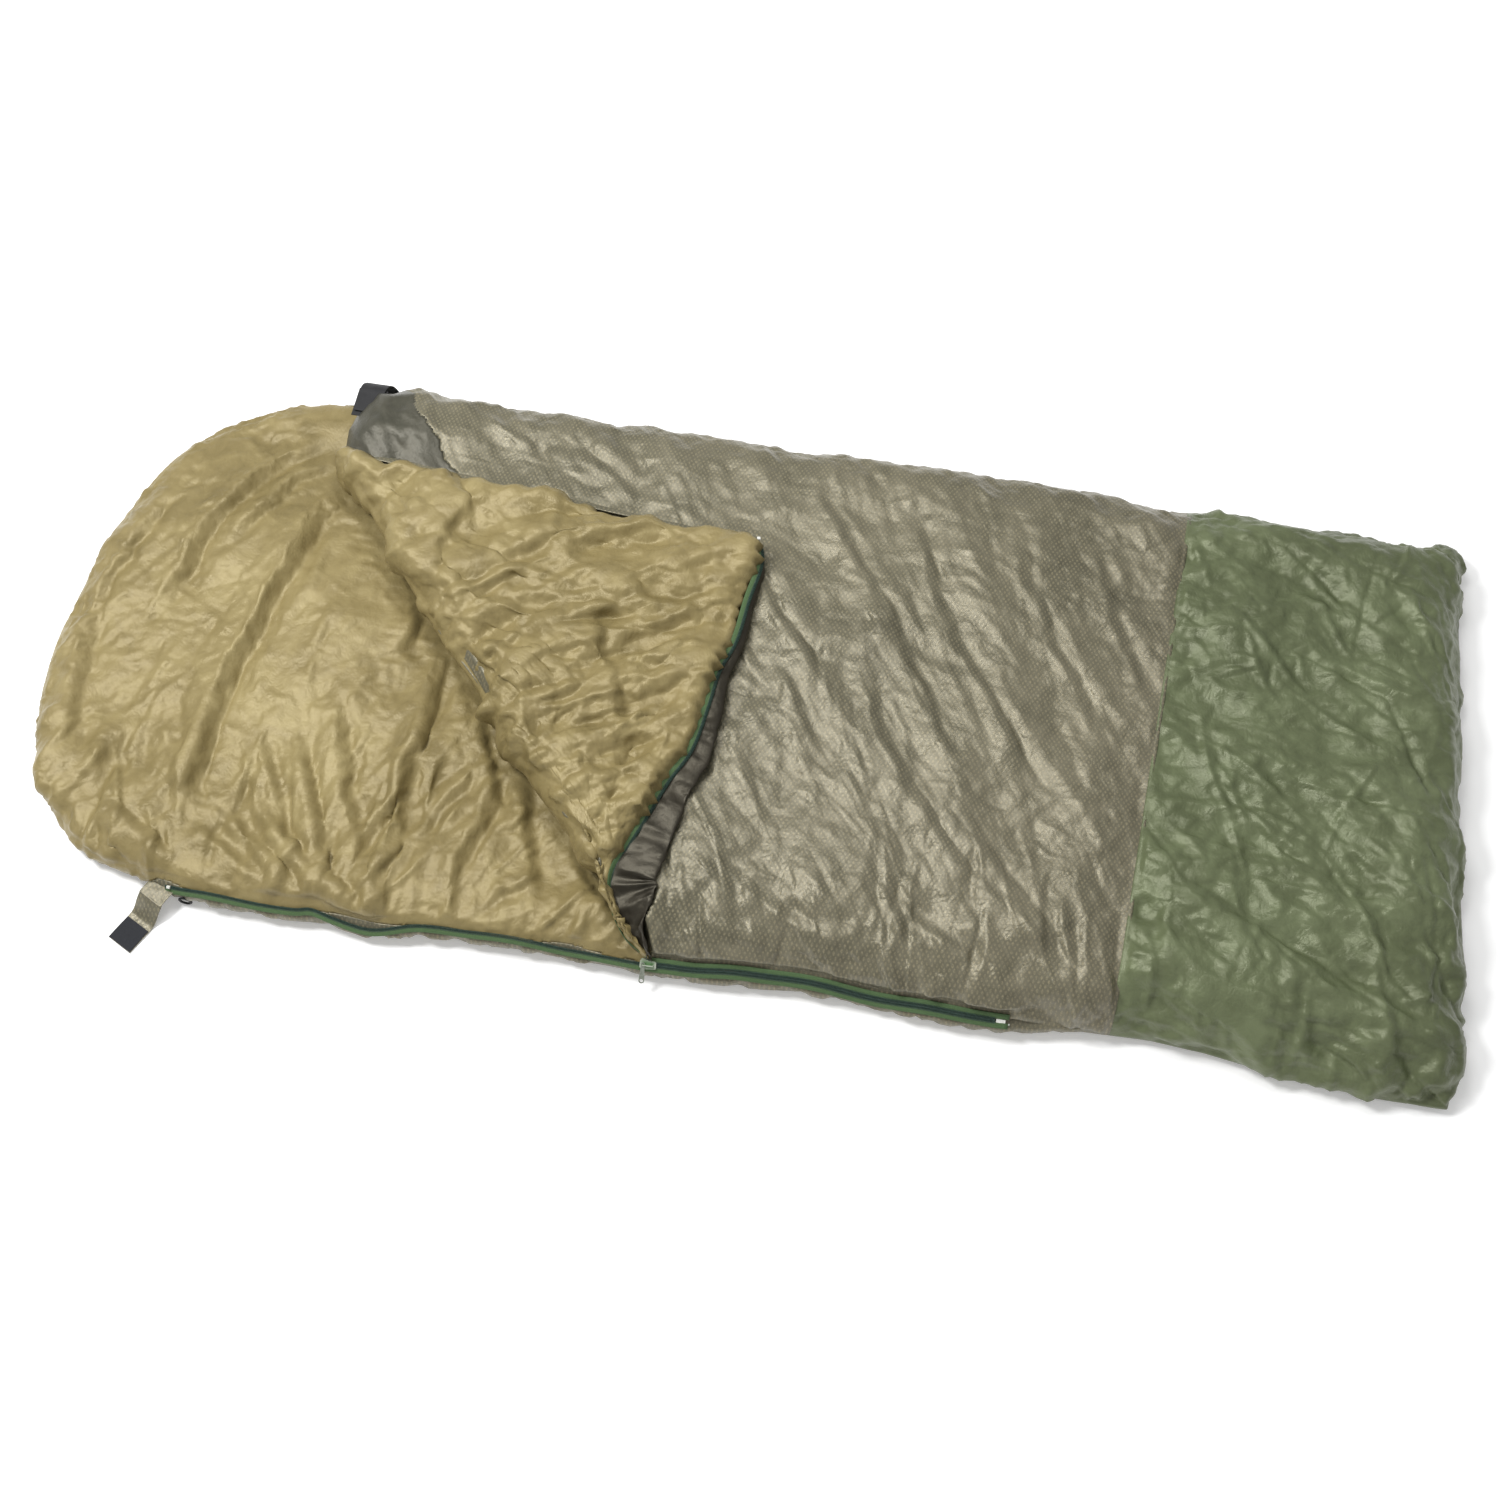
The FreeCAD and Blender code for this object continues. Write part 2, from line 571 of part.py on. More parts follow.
# near tab: root on the base's side, slants down and lies on the ground
th = g("tab_thick")
R = V(-0.45, -0.893, 0)
R.normalize()
near_root = V(-818, -474.5, 30)
ang = math.degrees(math.atan2(R.y, R.x))
zr = near_root.z
prof = [(0.5, 0.9), (29, -zr + 0.3 + th), (78, -zr + 0.3 + th), (78, -zr + 0.3), (28, -zr + 0.3), (-0.3, -1.2)]
strap("NearTab", "near_closure_tab", prof, "dims.tab_wide", Placement(near_root, Rotation(V(0, 0, 1), ang)), th)
hk = [(36, -zr + 0.3 + th), (78, -zr + 0.3 + th), (78, -zr + 0.3 + th + 1.4), (36, -zr + 0.3 + th + 1.4)]
strap("NearHook", "near_hook_patch", hk, "dims.tab_wide - 2", Placement(near_root, Rotation(V(0, 0, 1), ang)), 1.4)

# far tab: closed over the end of the far zip and onto the cover
far_root = V(-699, 469.5, 30)
ct = g("cover_top_z")
cz = ct - far_root.z
prof = [(-0.9, -1.0), (-0.9, 24.0), (-31.5, cz + 3.4 + .3 - 6), (-40, cz + 3.2 + th), (-92, cz + 3.2 + th), (-92, cz + 3.2), (-41, cz + 3.2),
        (-33.5, cz + 3.4 - 8), (-2.9, 23.2), (-2.9, -1.0)]
strap("FarTab", "far_closure_tab", [(x, z) for x, z in prof], "dims.tab_wide - 2", Placement(far_root, Rotation(V(0, 0, 1), 90)), th)
hk = [(-50, cz + 1.8), (-91, cz + 1.8), (-91, cz + 3.2), (-50, cz + 3.2)]
strap("FarHook", "far_hook_patch", hk, "dims.tab_wide - 6", Placement(far_root, Rotation(V(0, 0, 1), 90)), 1.4)
lp = doc.addObject("Part::Box", "FarLoopPatch")
E(lp, "Length", "dims.tab_wide + 4")
lp.Width, lp.Height = 54, 1.2
lp.Placement = Placement(V(-699 - (g("tab_wide") + 4) / 2, 370, ct), Rotation())
node(lp, "far_loop_patch")

# hanging loop at the near head corner of the base
to = doc.addObject("Part::Torus", "HangingLoop")
to.Radius1, to.Radius2 = 9, 1.8
to.Placement = Placement(V(-772, -463.85, 14), Rotation(V(1, 0, 0), 90))
node(to, "hanging_loop")

# ---------------------------------------------------------------- checks and export
doc.recompute()
bad = []
for o in doc.Objects:
    st = list(o.State)
    if "Invalid" in st or "Error" in st:
        bad.append((o.Name, st))
names = set()
for o in NODES:
    shp = o.Shape
    if shp.isNull() or not shp.isValid() or not shp.Solids:
        bad.append((o.Label, "shape"))
    if o.Label in names:
        bad.append((o.Label, "label twice"))
    names.add(o.Label)
if bad:
    for x in bad:
        print("BAD", x)
    raise RuntimeError("objects failed: %s" % bad)
for o in NODES:
    o.Shape.exportStep("parts/%s.step" % o.Label)
    bb = o.Shape.BoundBox
    print("%-24s solids %d vol %10.1f  x %8.1f %8.1f  y %8.1f %8.1f  z %7.1f %7.1f" % (
        o.Label, len(o.Shape.Solids), o.Shape.Volume, bb.XMin, bb.XMax, bb.YMin, bb.YMax, bb.ZMin, bb.ZMax))
print(len(NODES), "nodes")
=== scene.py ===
import bpy, bmesh, math
import numpy as np
from mathutils import Matrix, Vector


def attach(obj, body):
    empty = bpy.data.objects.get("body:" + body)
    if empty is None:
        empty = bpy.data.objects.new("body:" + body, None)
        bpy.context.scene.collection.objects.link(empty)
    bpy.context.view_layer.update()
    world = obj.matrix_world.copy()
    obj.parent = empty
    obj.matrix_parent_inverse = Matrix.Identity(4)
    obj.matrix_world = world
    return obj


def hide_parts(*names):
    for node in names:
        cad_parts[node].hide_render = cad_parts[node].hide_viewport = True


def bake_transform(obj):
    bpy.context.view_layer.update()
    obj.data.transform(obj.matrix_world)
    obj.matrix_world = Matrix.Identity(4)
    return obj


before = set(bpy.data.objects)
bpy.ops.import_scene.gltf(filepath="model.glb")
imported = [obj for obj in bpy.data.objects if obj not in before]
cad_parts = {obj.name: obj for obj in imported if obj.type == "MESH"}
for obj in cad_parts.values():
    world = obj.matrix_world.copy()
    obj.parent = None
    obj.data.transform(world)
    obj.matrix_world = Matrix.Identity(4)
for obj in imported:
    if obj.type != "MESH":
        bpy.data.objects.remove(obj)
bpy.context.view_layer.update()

scene = bpy.context.scene

# ------------------------------------------------------------------ camera
def place_camera():
    a, e, r = math.radians(12.523), math.radians(63.299), math.radians(-2.541)
    back = np.array([math.sin(a) * math.cos(e), -math.cos(a) * math.cos(e), math.sin(e)])
    pos = np.array([0.013, -0.067, 0.0]) + back * 3.188
    fwd = -back
    right = np.cross(fwd, [0, 0, 1.0]); right /= np.linalg.norm(right)
    up = np.cross(right, fwd)
    R = math.cos(r) * right + math.sin(r) * up
    U = -math.sin(r) * right + math.cos(r) * up
    m = Matrix(((R[0], U[0], back[0], pos[0]), (R[1], U[1], back[1], pos[1]), (R[2], U[2], back[2], pos[2]), (0, 0, 0, 1)))
    cd = bpy.data.cameras.new("camera")
    cd.sensor_width = 36.0
    cd.sensor_fit = "HORIZONTAL"
    cd.lens = 2061.3 / 1500 * 36
    cd.clip_start, cd.clip_end = 0.05, 60
    co = bpy.data.objects.new("camera", cd)
    scene.collection.objects.link(co)
    co.matrix_world = m
    scene.camera = co
place_camera()

# ------------------------------------------------------------------ noise tools
class Lattice:
    def __init__(self, seed):
        self.g = np.random.RandomState(seed).rand(256, 256).astype(np.float64) * 2 - 1
    def __call__(self, x, y):
        xi, yi = np.floor(x).astype(int), np.floor(y).astype(int)
        fx, fy = x - xi, y - yi
        u, v = fx * fx * fx * (fx * (fx * 6 - 15) + 10), fy * fy * fy * (fy * (fy * 6 - 15) + 10)
        g = self.g
        a, b = g[xi & 255, yi & 255], g[(xi + 1) & 255, yi & 255]
        c, d = g[xi & 255, (yi + 1) & 255], g[(xi + 1) & 255, (yi + 1) & 255]
        return (a * (1 - u) + b * u) * (1 - v) + (c * (1 - u) + d * u) * v

_lat = {}
def noise(x, y, size, seed):
    if seed not in _lat:
        _lat[seed] = Lattice(seed)
    return _lat[seed](x / size + 37.1 * seed, y / size + 11.7 * seed)

def fbm(x, y, size, seed, octs=3, gain=0.5):
    t, a, s = 0, 1.0, 0
    for k in range(octs):
        t = t + a * noise(x, y, size / 2 ** k, seed + 101 * k)
        s += a; a *= gain
    return t / s

def rot(x, y, deg):
    c, s = math.cos(math.radians(deg)), math.sin(math.radians(deg))
    return x * c + y * s, -x * s + y * c

def ridged(x, y, size, seed, deg=0.0, stretch=1.0, sharp=0.06):
    """crease network, 0..1, long along deg"""
    wx = x + 0.35 * size * noise(x, y, size * 1.7, seed + 7)
    wy = y + 0.35 * size * noise(x, y, size * 1.7, seed + 8)
    a, b = rot(wx, wy, deg)
    n = noise(a / stretch, b, size, seed)
    return 1 - np.sqrt(n * n + sharp * sharp) + sharp

def facets(x, y, size, seed, deg=0.0, stretch=1.0, octs=2):
    t, amp, s = 0, 1.0, 0
    for k in range(octs):
        t = t + amp * (ridged(x, y, size / 1.9 ** k, seed + 31 * k, deg + 25 * k, stretch) - 0.62)
        s += amp; amp *= 0.55
    return t / s

def smooth(t):
    t = np.clip(t, 0, 1)
    return t * t * (3 - 2 * t)

def polyline_field(x, y, pts, width, lop=0.35, taper=0.22):
    """a fold that follows a polyline: a soft ridge with a sharper valley beside it"""
    pts = np.asarray(pts, float)
    seg = np.diff(pts, axis=0)
    L = np.hypot(seg[:, 0], seg[:, 1])
    tot = L.sum()
    best = np.full(x.shape, 1e9); sgn = np.zeros(x.shape); par = np.zeros(x.shape)
    acc = 0.0
    for p, d, l in zip(pts[:-1], seg, L):
        t = np.clip(((x - p[0]) * d[0] + (y - p[1]) * d[1]) / (l * l), 0, 1)
        qx, qy = x - (p[0] + d[0] * t), y - (p[1] + d[1] * t)
        dist = np.hypot(qx, qy)
        side = np.sign(d[0] * qy - d[1] * qx)
        m = dist < best
        best = np.where(m, dist, best); sgn = np.where(m, side, sgn); par = np.where(m, (acc + t * l) / tot, par)
        acc += l
    ds = best * sgn
    w = smooth(par / taper) * smooth((1 - par) / taper)
    def tent(v, a, b):
        return np.clip(np.where(v > 0, 1 - v / a, 1 + v / b), 0, 1) ** 1.15
    return (tent(ds, width * 0.9, width * 2.6) - 0.7 * tent(ds - width * 1.35, width * 1.5, width * 0.7)) * w

def tents(x, y, n, seed, box, lens, wids, deg, spread, slope, curve=0.10, up=0.62, grow=None, asym=(0.5, 2.0)):
    """many short straight creases with flat flanks: what a thin, tight cloth breaks into. deg may be a function of the place"""
    rs = np.random.RandomState(seed)
    sh = x.shape
    x, y = x.ravel(), y.ravel()
    h = np.zeros(x.shape)
    order = np.argsort(x)
    xs = x[order]
    for k in range(n):
        cx, cy = rs.uniform(box[0], box[1]), rs.uniform(box[2], box[3])
        L, W = rs.uniform(*lens) / 2, rs.uniform(*wids)
        a = math.radians((deg(cx, cy) if callable(deg) else deg) + rs.normal() * spread)
        cv, sg, az = rs.normal() * curve, (1 if rs.rand() < up else -1), rs.uniform(*asym)
        g = grow(cx, cy) if grow else 1.0
        if g <= 0.02:
            continue
        R = L + W * 2
        i0, i1 = np.searchsorted(xs, (cx - R, cx + R))
        ids = order[i0:i1]
        ids = ids[np.abs(y[ids] - cy) < R]
        if not len(ids):
            continue
        dx, dy = x[ids] - cx, y[ids] - cy
        u = dx * math.cos(a) + dy * math.sin(a)
        v = -dx * math.sin(a) + dy * math.cos(a) - cv * (u * u / L)
        t = np.clip(1.25 * (1 - np.abs(u) / L), 0, 1)
        wv = W * (0.35 + 0.65 * t)
        f = np.clip(np.where(v > 0, 1 - v / wv, 1 + v / (wv * az)), 0, 1)
        h[ids] += sg * g * slope * W * f * t
    return h.reshape(sh)

def foil(x, y, size, seed, deg=0.0, stretch=1.0, jitter=1.0):
    """crumpled-foil height: flat facets meeting in straight ridges, about -0.5..0.5 times size"""
    a, b = rot(x, y, deg)
    a, b = a / (size * stretch), b / size
    ia, ib = np.floor(a), np.floor(b)
    R = np.random.RandomState(seed).rand(4, 128, 128)
    best = np.full(x.shape, 9.0)
    for di in (-2, -1, 0, 1, 2):
        for dj in (-2, -1, 0, 1, 2):
            ci, cj = (ia + di).astype(int) & 127, (ib + dj).astype(int) & 127
            px, py = ia + di + 0.5 + jitter * (R[0, ci, cj] - 0.5), ib + dj + 0.5 + jitter * (R[1, ci, cj] - 0.5)
            th = R[2, ci, cj] * np.pi
            dx, dy = a - px, b - py
            c, s = np.cos(th), np.sin(th)
            u, v = np.abs(dx * c + dy * s), np.abs(-dx * s + dy * c)
            k = 0.35 + 0.5 * R[3, ci, cj]
            best = np.minimum(best, u * k * 1.3 + v * (1.25 - k) * 1.3)
    return (best - 0.42) * size

def refine(ob, keep):
    """one subdivision of the faces whose centre passes keep(x, y, z)"""
    bm = bmesh.new(); bm.from_mesh(ob.data)
    fs = [f for f in bm.faces if keep(*f.calc_center_median())]
    es = list({e for f in fs for e in f.edges})
    bmesh.ops.subdivide_edges(bm, edges=es, cuts=1, use_grid_fill=True, smooth=0.0)
    bm.to_mesh(ob.data); bm.free()
    ob.data.polygons.foreach_set("use_smooth", [True] * len(ob.data.polygons))
    ob.data.update()

def new_mesh(name, verts, faces, smooth_shade=True):
    me = bpy.data.meshes.new(name)
    me.from_pydata([tuple(v) for v in verts], [], [tuple(f) for f in faces])
    me.validate()
    me.update()
    if smooth_shade:
        me.polygons.foreach_set("use_smooth", [True] * len(me.polygons))
    ob = bpy.data.objects.new(name, me)
    scene.collection.objects.link(ob)
    return ob

def grid_faces(nr, nc, flip=False):
    f = []
    for i in range(nr - 1):
        for j in range(nc - 1):
            a = i * nc + j
            q = (a, a + 1, a + nc + 1, a + nc)
            f.append(q[::-1] if flip else q)
    return f

def solidify(ob, t=0.0008):
    m = ob.modifiers.new("skin", "SOLIDIFY")
    m.thickness = t
    m.offset = -1
    m.use_rim = True
    bake(ob)

def bake(ob):
    dg = bpy.context.evaluated_depsgraph_get()
    me = bpy.data.meshes.new_from_object(ob.evaluated_get(dg))
    old = ob.data
    ob.modifiers.clear()
    ob.data = me
    me.polygons.foreach_set("use_smooth", [True] * len(me.polygons))
    me.update()

def catmull(pts, n):
    """n points evenly along a smooth curve through pts"""
    p = np.asarray(pts, float)
    p = np.vstack([2 * p[0] - p[1], p, 2 * p[-1] - p[-2]])
    out = []
    for i in range(1, len(p) - 2):
        for t in np.linspace(0, 1, 24, endpoint=False):
            a, b, c, d = p[i - 1], p[i], p[i + 1], p[i + 2]
            out.append(0.5 * ((2 * b) + (c - a) * t + (2 * a - 5 * b + 4 * c - d) * t * t + (-a + 3 * b - 3 * c + d) * t ** 3))
    out.append(p[-2])
    out = np.array(out)
    s = np.r_[0, np.cumsum(np.linalg.norm(np.diff(out, axis=0), axis=1))]
    return np.stack([np.interp(np.linspace(0, s[-1], n), s, out[:, k]) for k in range(out.shape[1])], 1)

# ------------------------------------------------------------------ materials
def mat_new(name):
    m = bpy.data.materials.new(name)
    m.use_nodes = True
    nt = m.node_tree
    nt.nodes.clear()
    out = nt.nodes.new("ShaderNodeOutputMaterial")
    b = nt.nodes.new("ShaderNodeBsdfPrincipled")
    nt.links.new(b.outputs[0], out.inputs[0])
    return m, nt, b

def srgb(r, g, b):
    f = lambda c: ((c / 255 + 0.055) / 1.055) ** 2.4 if c / 255 > 0.04045 else c / 255 / 12.92
    return (f(r), f(g), f(b), 1)

def N(nt, kind, **kw):
    n = nt.nodes.new("ShaderNode" + kind)
    for k, v in kw.items():
        if k in n.inputs.keys():
            n.inputs[k].default_value = v
        else:
            setattr(n, k, v)
    return n

def ramp(nt, fac, stops):
    r = nt.nodes.new("ShaderNodeValToRGB")
    els = r.color_ramp.elements
    while len(els) < len(stops):
        els.new(0.5)
    for e, (p, c) in zip(els, stops):
        e.position, e.color = p, c
    nt.links.new(fac, r.inputs[0])
    return r.outputs[0]

def mapping(nt, scale=(1, 1, 1), rotz=0.0):
    tc = N(nt, "TexCoord")
    mp = N(nt, "Mapping")
    mp.inputs["Scale"].default_value = scale
    mp.inputs["Rotation"].default_value = (0, 0, rotz)
    nt.links.new(tc.outputs["Object"], mp.inputs["Vector"])
    return mp.outputs["Vector"]

def fabric(name, dark, mid, light, rough=(0.36, 0.52), weave=0.0006, weave_mix=0.10, sheen=0.25, crinkle=0.35, coarse=0.5, dobby=False, spec=0.5, thread_glint_col=None, tint=(1, 1, 1, 1), metal=0.0, micro=110.0):
    m, nt, b = mat_new(name)
    L = nt.links.new
    v = mapping(nt)
    # cloth colour: slow drift, mid creases
    n1 = N(nt, "TexNoise", Scale=3.2, Detail=4.0, Roughness=0.55); L(v, n1.inputs["Vector"])
    n2 = N(nt, "TexNoise", Scale=26.0, Detail=6.0, Roughness=0.62, Distortion=0.6); L(v, n2.inputs["Vector"])
    mx = N(nt, "Math", operation="ADD"); L(n1.outputs["Fac"], mx.inputs[0]); L(n2.outputs["Fac"], mx.inputs[1])
    hv = N(nt, "Math", operation="MULTIPLY"); hv.inputs[1].default_value = 0.5; L(mx.outputs[0], hv.inputs[0])
    col = ramp(nt, hv.outputs[0], [(0.36, dark), (0.5, mid), (0.64, light)])
    # crumple: two ridged networks
    vw = N(nt, "TexNoise", Scale=14.0, Detail=2.0); L(v, vw.inputs["Vector"])
    ws = N(nt, "VectorMath", operation="SCALE"); ws.inputs["Scale"].default_value = 0.045; L(vw.outputs["Color"], ws.inputs[0])
    wv = N(nt, "VectorMath", operation="ADD"); L(v, wv.inputs[0]); L(ws.outputs[0], wv.inputs[1])
    cr1 = N(nt, "TexVoronoi", feature="DISTANCE_TO_EDGE", Scale=26.0, Randomness=1.0); L(wv.outputs[0], cr1.inputs["Vector"])
    cr2 = N(nt, "TexVoronoi", feature="DISTANCE_TO_EDGE", Scale=micro, Randomness=1.0); L(wv.outputs[0], cr2.inputs["Vector"])
    # weave
    va = mapping(nt, rotz=math.radians(45 if dobby else 0))
    wa = N(nt, "TexWave", wave_type="BANDS", bands_direction="X", Scale=1.0 / weave / 6.2832 * 3.14159); L(va, wa.inputs["Vector"])
    wb = N(nt, "TexWave", wave_type="BANDS", bands_direction="Y", Scale=1.0 / weave / 6.2832 * 3.14159); L(va, wb.inputs["Vector"])
    wm = N(nt, "Math", operation="MAXIMUM"); L(wa.outputs["Fac"], wm.inputs[0]); L(wb.outputs["Fac"], wm.inputs[1])
    mixc = N(nt, "MixRGB", blend_type="MULTIPLY"); mixc.inputs[0].default_value = weave_mix
    L(col, mixc.inputs[1])
    wr = ramp(nt, wm.outputs[0], [(0.25, (0.25, 0.24, 0.2, 1)), (0.85, (1, 1, 1, 1))])
    L(wr, mixc.inputs[2])
    last = mixc.outputs[0]
    if dobby:
        # larger diamond figure of the dobby weave, lighter threads: partly the weave's own light threads, partly
        # painted thread glint, speckled by fine noise
        vd = mapping(nt, rotz=math.radians(33))
        d1 = N(nt, "TexWave", wave_type="BANDS", bands_direction="X", Scale=52.0, Distortion=0.6); L(vd, d1.inputs["Vector"])
        vd2 = mapping(nt, rotz=math.radians(-33))
        d2 = N(nt, "TexWave", wave_type="BANDS", bands_direction="X", Scale=52.0, Distortion=0.6); L(vd2, d2.inputs["Vector"])
        dm = N(nt, "Math", operation="MULTIPLY"); L(d1.outputs["Fac"], dm.inputs[0]); L(d2.outputs["Fac"], dm.inputs[1])
        dr = ramp(nt, dm.outputs[0], [(0.12, (0, 0, 0, 1)), (0.5, (1, 1, 1, 1))])
        thread_glint_speckle = N(nt, "TexNoise", Scale=420.0, Detail=2.0); L(v, thread_glint_speckle.inputs["Vector"])
        sr = ramp(nt, thread_glint_speckle.outputs["Fac"], [(0.42, (0.2, 0.2, 0.2, 1)), (0.6, (1, 1, 1, 1))])
        dk = N(nt, "Math", operation="MULTIPLY"); L(dr, dk.inputs[0]); L(sr, dk.inputs[1])
        dk2 = N(nt, "Math", operation="MULTIPLY"); dk2.inputs[1].default_value = 0.55; L(dk.outputs[0], dk2.inputs[0])
        mm = N(nt, "MixRGB", blend_type="MIX"); L(dk2.outputs[0], mm.inputs[0]); L(last, mm.inputs[1]); mm.inputs[2].default_value = thread_glint_col or light
        last = mm.outputs[0]
    L(last, b.inputs["Base Color"])
    # roughness
    rr = N(nt, "MapRange"); L(n2.outputs["Fac"], rr.inputs["Value"])
    rr.inputs["From Min"].default_value, rr.inputs["From Max"].default_value = 0.3, 0.7
    rr.inputs["To Min"].default_value, rr.inputs["To Max"].default_value = rough
    L(rr.outputs[0], b.inputs["Roughness"])
    b.inputs["Specular IOR Level"].default_value = spec
    b.inputs["Specular Tint"].default_value = tint
    b.inputs["Metallic"].default_value = metal
    b.inputs["Sheen Weight"].default_value = sheen
    b.inputs["Sheen Roughness"].default_value = 0.45
    b.inputs["Sheen Tint"].default_value = light
    # bump chain
    b1 = N(nt, "Bump", Strength=coarse, Distance=0.004); L(cr1.outputs["Distance"], b1.inputs["Height"])
    b2 = N(nt, "Bump", Strength=crinkle, Distance=0.0016); L(cr2.outputs["Distance"], b2.inputs["Height"]); L(b1.outputs[0], b2.inputs["Normal"])
    b3 = N(nt, "Bump", Strength=0.25, Distance=0.0002); L(wm.outputs[0], b3.inputs["Height"]); L(b2.outputs[0], b3.inputs["Normal"])
    L(b3.outputs[0], b.inputs["Normal"])
    return m

def plain(name, dark, light, rough=0.5, metal=0.0, scale=200.0, bump=0.15, spec=0.5, coat=0.0, wear=None, dist=0.0003):
    m, nt, b = mat_new(name)
    L = nt.links.new
    v = mapping(nt)
    n = N(nt, "TexNoise", Scale=scale, Detail=5.0, Roughness=0.6); L(v, n.inputs["Vector"])
    c = ramp(nt, n.outputs["Fac"], [(0.35, dark), (0.65, light)])
    if wear:
        geo = N(nt, "NewGeometry")
        pr = ramp(nt, geo.outputs["Pointiness"], [(0.52, (0, 0, 0, 1)), (0.6, (1, 1, 1, 1))])
        mm = N(nt, "MixRGB"); L(pr, mm.inputs[0]); L(c, mm.inputs[1]); mm.inputs[2].default_value = wear
        c = mm.outputs[0]
    L(c, b.inputs["Base Color"])
    rr = N(nt, "MapRange"); L(n.outputs["Fac"], rr.inputs["Value"])
    rr.inputs["To Min"].default_value, rr.inputs["To Max"].default_value = rough * 0.8, min(1, rough * 1.25)
    L(rr.outputs[0], b.inputs["Roughness"])
    b.inputs["Metallic"].default_value = metal
    b.inputs["Specular IOR Level"].default_value = spec
    if coat:
        b.inputs["Coat Weight"].default_value = coat
        b.inputs["Coat Roughness"].default_value = 0.2
    bm = N(nt, "Bump", Strength=bump, Distance=dist); L(n.outputs["Fac"], bm.inputs["Height"])
    L(bm.outputs[0], b.inputs["Normal"])
    return m

M_GOLD = fabric("gold_satin", srgb(118, 105, 68), srgb(135, 121, 81), srgb(150, 136, 94), rough=(0.33, 0.43), weave=0.0007, weave_mix=0.10, sheen=0.06, crinkle=0.35, coarse=0.35, spec=0.55, tint=srgb(255, 244, 214), metal=0.04)
# the light thread colour of the taupe doubles as painted thread glint
M_TAUPE = fabric("taupe_dobby", srgb(84, 82, 68), srgb(100, 97, 81), srgb(112, 108, 91), rough=(0.29, 0.40), weave=0.0011, weave_mix=0.22, sheen=0.06, crinkle=0.4, coarse=0.4, dobby=True, thread_glint_col=srgb(150, 140, 112), spec=0.65, tint=srgb(255, 246, 222), metal=0.05)
M_GREEN = fabric("green_coated", srgb(79, 86, 60), srgb(92, 100, 71), srgb(105, 114, 83), rough=(0.30, 0.40), weave=0.0007, weave_mix=0.10, sheen=0.06, crinkle=0.4, coarse=0.4, spec=0.6, tint=srgb(246, 248, 224), metal=0.04)
# dark facing cloth under the free edge of the opened corner: partly its own brown-grey, partly painted shade of the
# deep shadow beside the zip
M_FACING_SHADE = fabric("facing_painted_shade", srgb(25, 23, 18), srgb(34, 31, 25), srgb(45, 41, 33), rough=(0.36, 0.46), weave=0.0006, weave_mix=0.08, sheen=0.05, crinkle=0.3, coarse=0.3, spec=0.6, tint=srgb(255, 246, 222), metal=0.03)
# darker grey cloth for the rolled far head corner: partly a grey facing, partly painted shade of the rolled corner
M_GREYL_SHADE = fabric("grey_lining_painted_shade", srgb(58, 58, 49), srgb(70, 69, 59), srgb(82, 80, 69), rough=(0.32, 0.42), weave=0.0006, weave_mix=0.08, sheen=0.05, crinkle=0.3, coarse=0.3, spec=0.5, tint=srgb(255, 250, 236), metal=0.03)
M_TAPE = plain("zip_tape_weave", srgb(56, 80, 46), srgb(84, 110, 68), rough=0.75, scale=900.0, bump=0.5)
M_COIL = plain("zip_coil_nylon", srgb(30, 48, 40), srgb(56, 80, 70), rough=0.32, scale=500.0, bump=0.1)
M_SLIDER = plain("slider_enamel", srgb(74, 106, 66), srgb(92, 126, 82), rough=0.3, scale=120.0, bump=0.08, coat=0.5, wear=srgb(170, 176, 160))
M_PULL = plain("pull_satin_metal", srgb(150, 156, 142), srgb(186, 192, 178), rough=0.32, metal=0.85, scale=260.0, bump=0.08)
M_WHITE = plain("moulded_white", srgb(214, 214, 206), srgb(236, 236, 230), rough=0.3, scale=300.0, bump=0.05)
M_BLACKH = plain("hook_tape_black", srgb(14, 16, 20), srgb(44, 46, 52), rough=0.8, scale=1500.0, bump=0.9, dist=0.0008)
M_BLACKW = plain("webbing_black", srgb(16, 16, 18), srgb(40, 40, 42), rough=0.7, scale=1100.0, bump=0.6)

for node, mat in {"near_slider": M_SLIDER, "far_slider": M_SLIDER, "near_pull_tab": M_PULL, "far_pull_tab": M_PULL,
                  "near_lower_top_stop": M_WHITE, "far_lower_top_stop": M_WHITE, "far_upper_top_stop": M_WHITE, "near_insertion_pin": M_WHITE,
                  "near_retainer_box": M_WHITE, "far_insertion_pin": M_WHITE, "far_retainer_box": M_WHITE, "hanging_loop": M_BLACKW,
                  "flap_top_stop": M_WHITE}.items():
    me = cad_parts[node].data
    me.materials.clear()
    me.materials.append(mat)

def setmat(ob, *mats):
    ob.data.materials.clear()
    for m in mats:
        ob.data.materials.append(m)

# ------------------------------------------------------------------ lines of the object (plan, metres)
HEAD = [(-.840, -.446), (-.925, -.426), (-.985, -.390), (-1.047, -.318), (-1.085, -.222), (-1.100, -.095), (-1.091, .030),
        (-1.066, .170), (-1.008, .305), (-.915, .391), (-.815, .436), (-.700, .452)]
ZIPX = [-.83, -.797, -.757, -.679, -.602, -.574, -.540, -.477, -.408, -.333, -.198, -.126, -.066, -.036, .008, .080, .153, .227, .301, .373, .431, .5]
ZIPY = [-.450, -.453, -.456, -.459, -.459, -.454, -.460, -.467, -.452, -.449, -.449, -.4525, -.4542, -.4535, -.452, -.446, -.442, -.446, -.450, -.4535, -.4542, -.4542]
ZY, ZZ = -.4542, .0422
zs = catmull(np.stack([ZIPX, ZIPY], 1), 400)
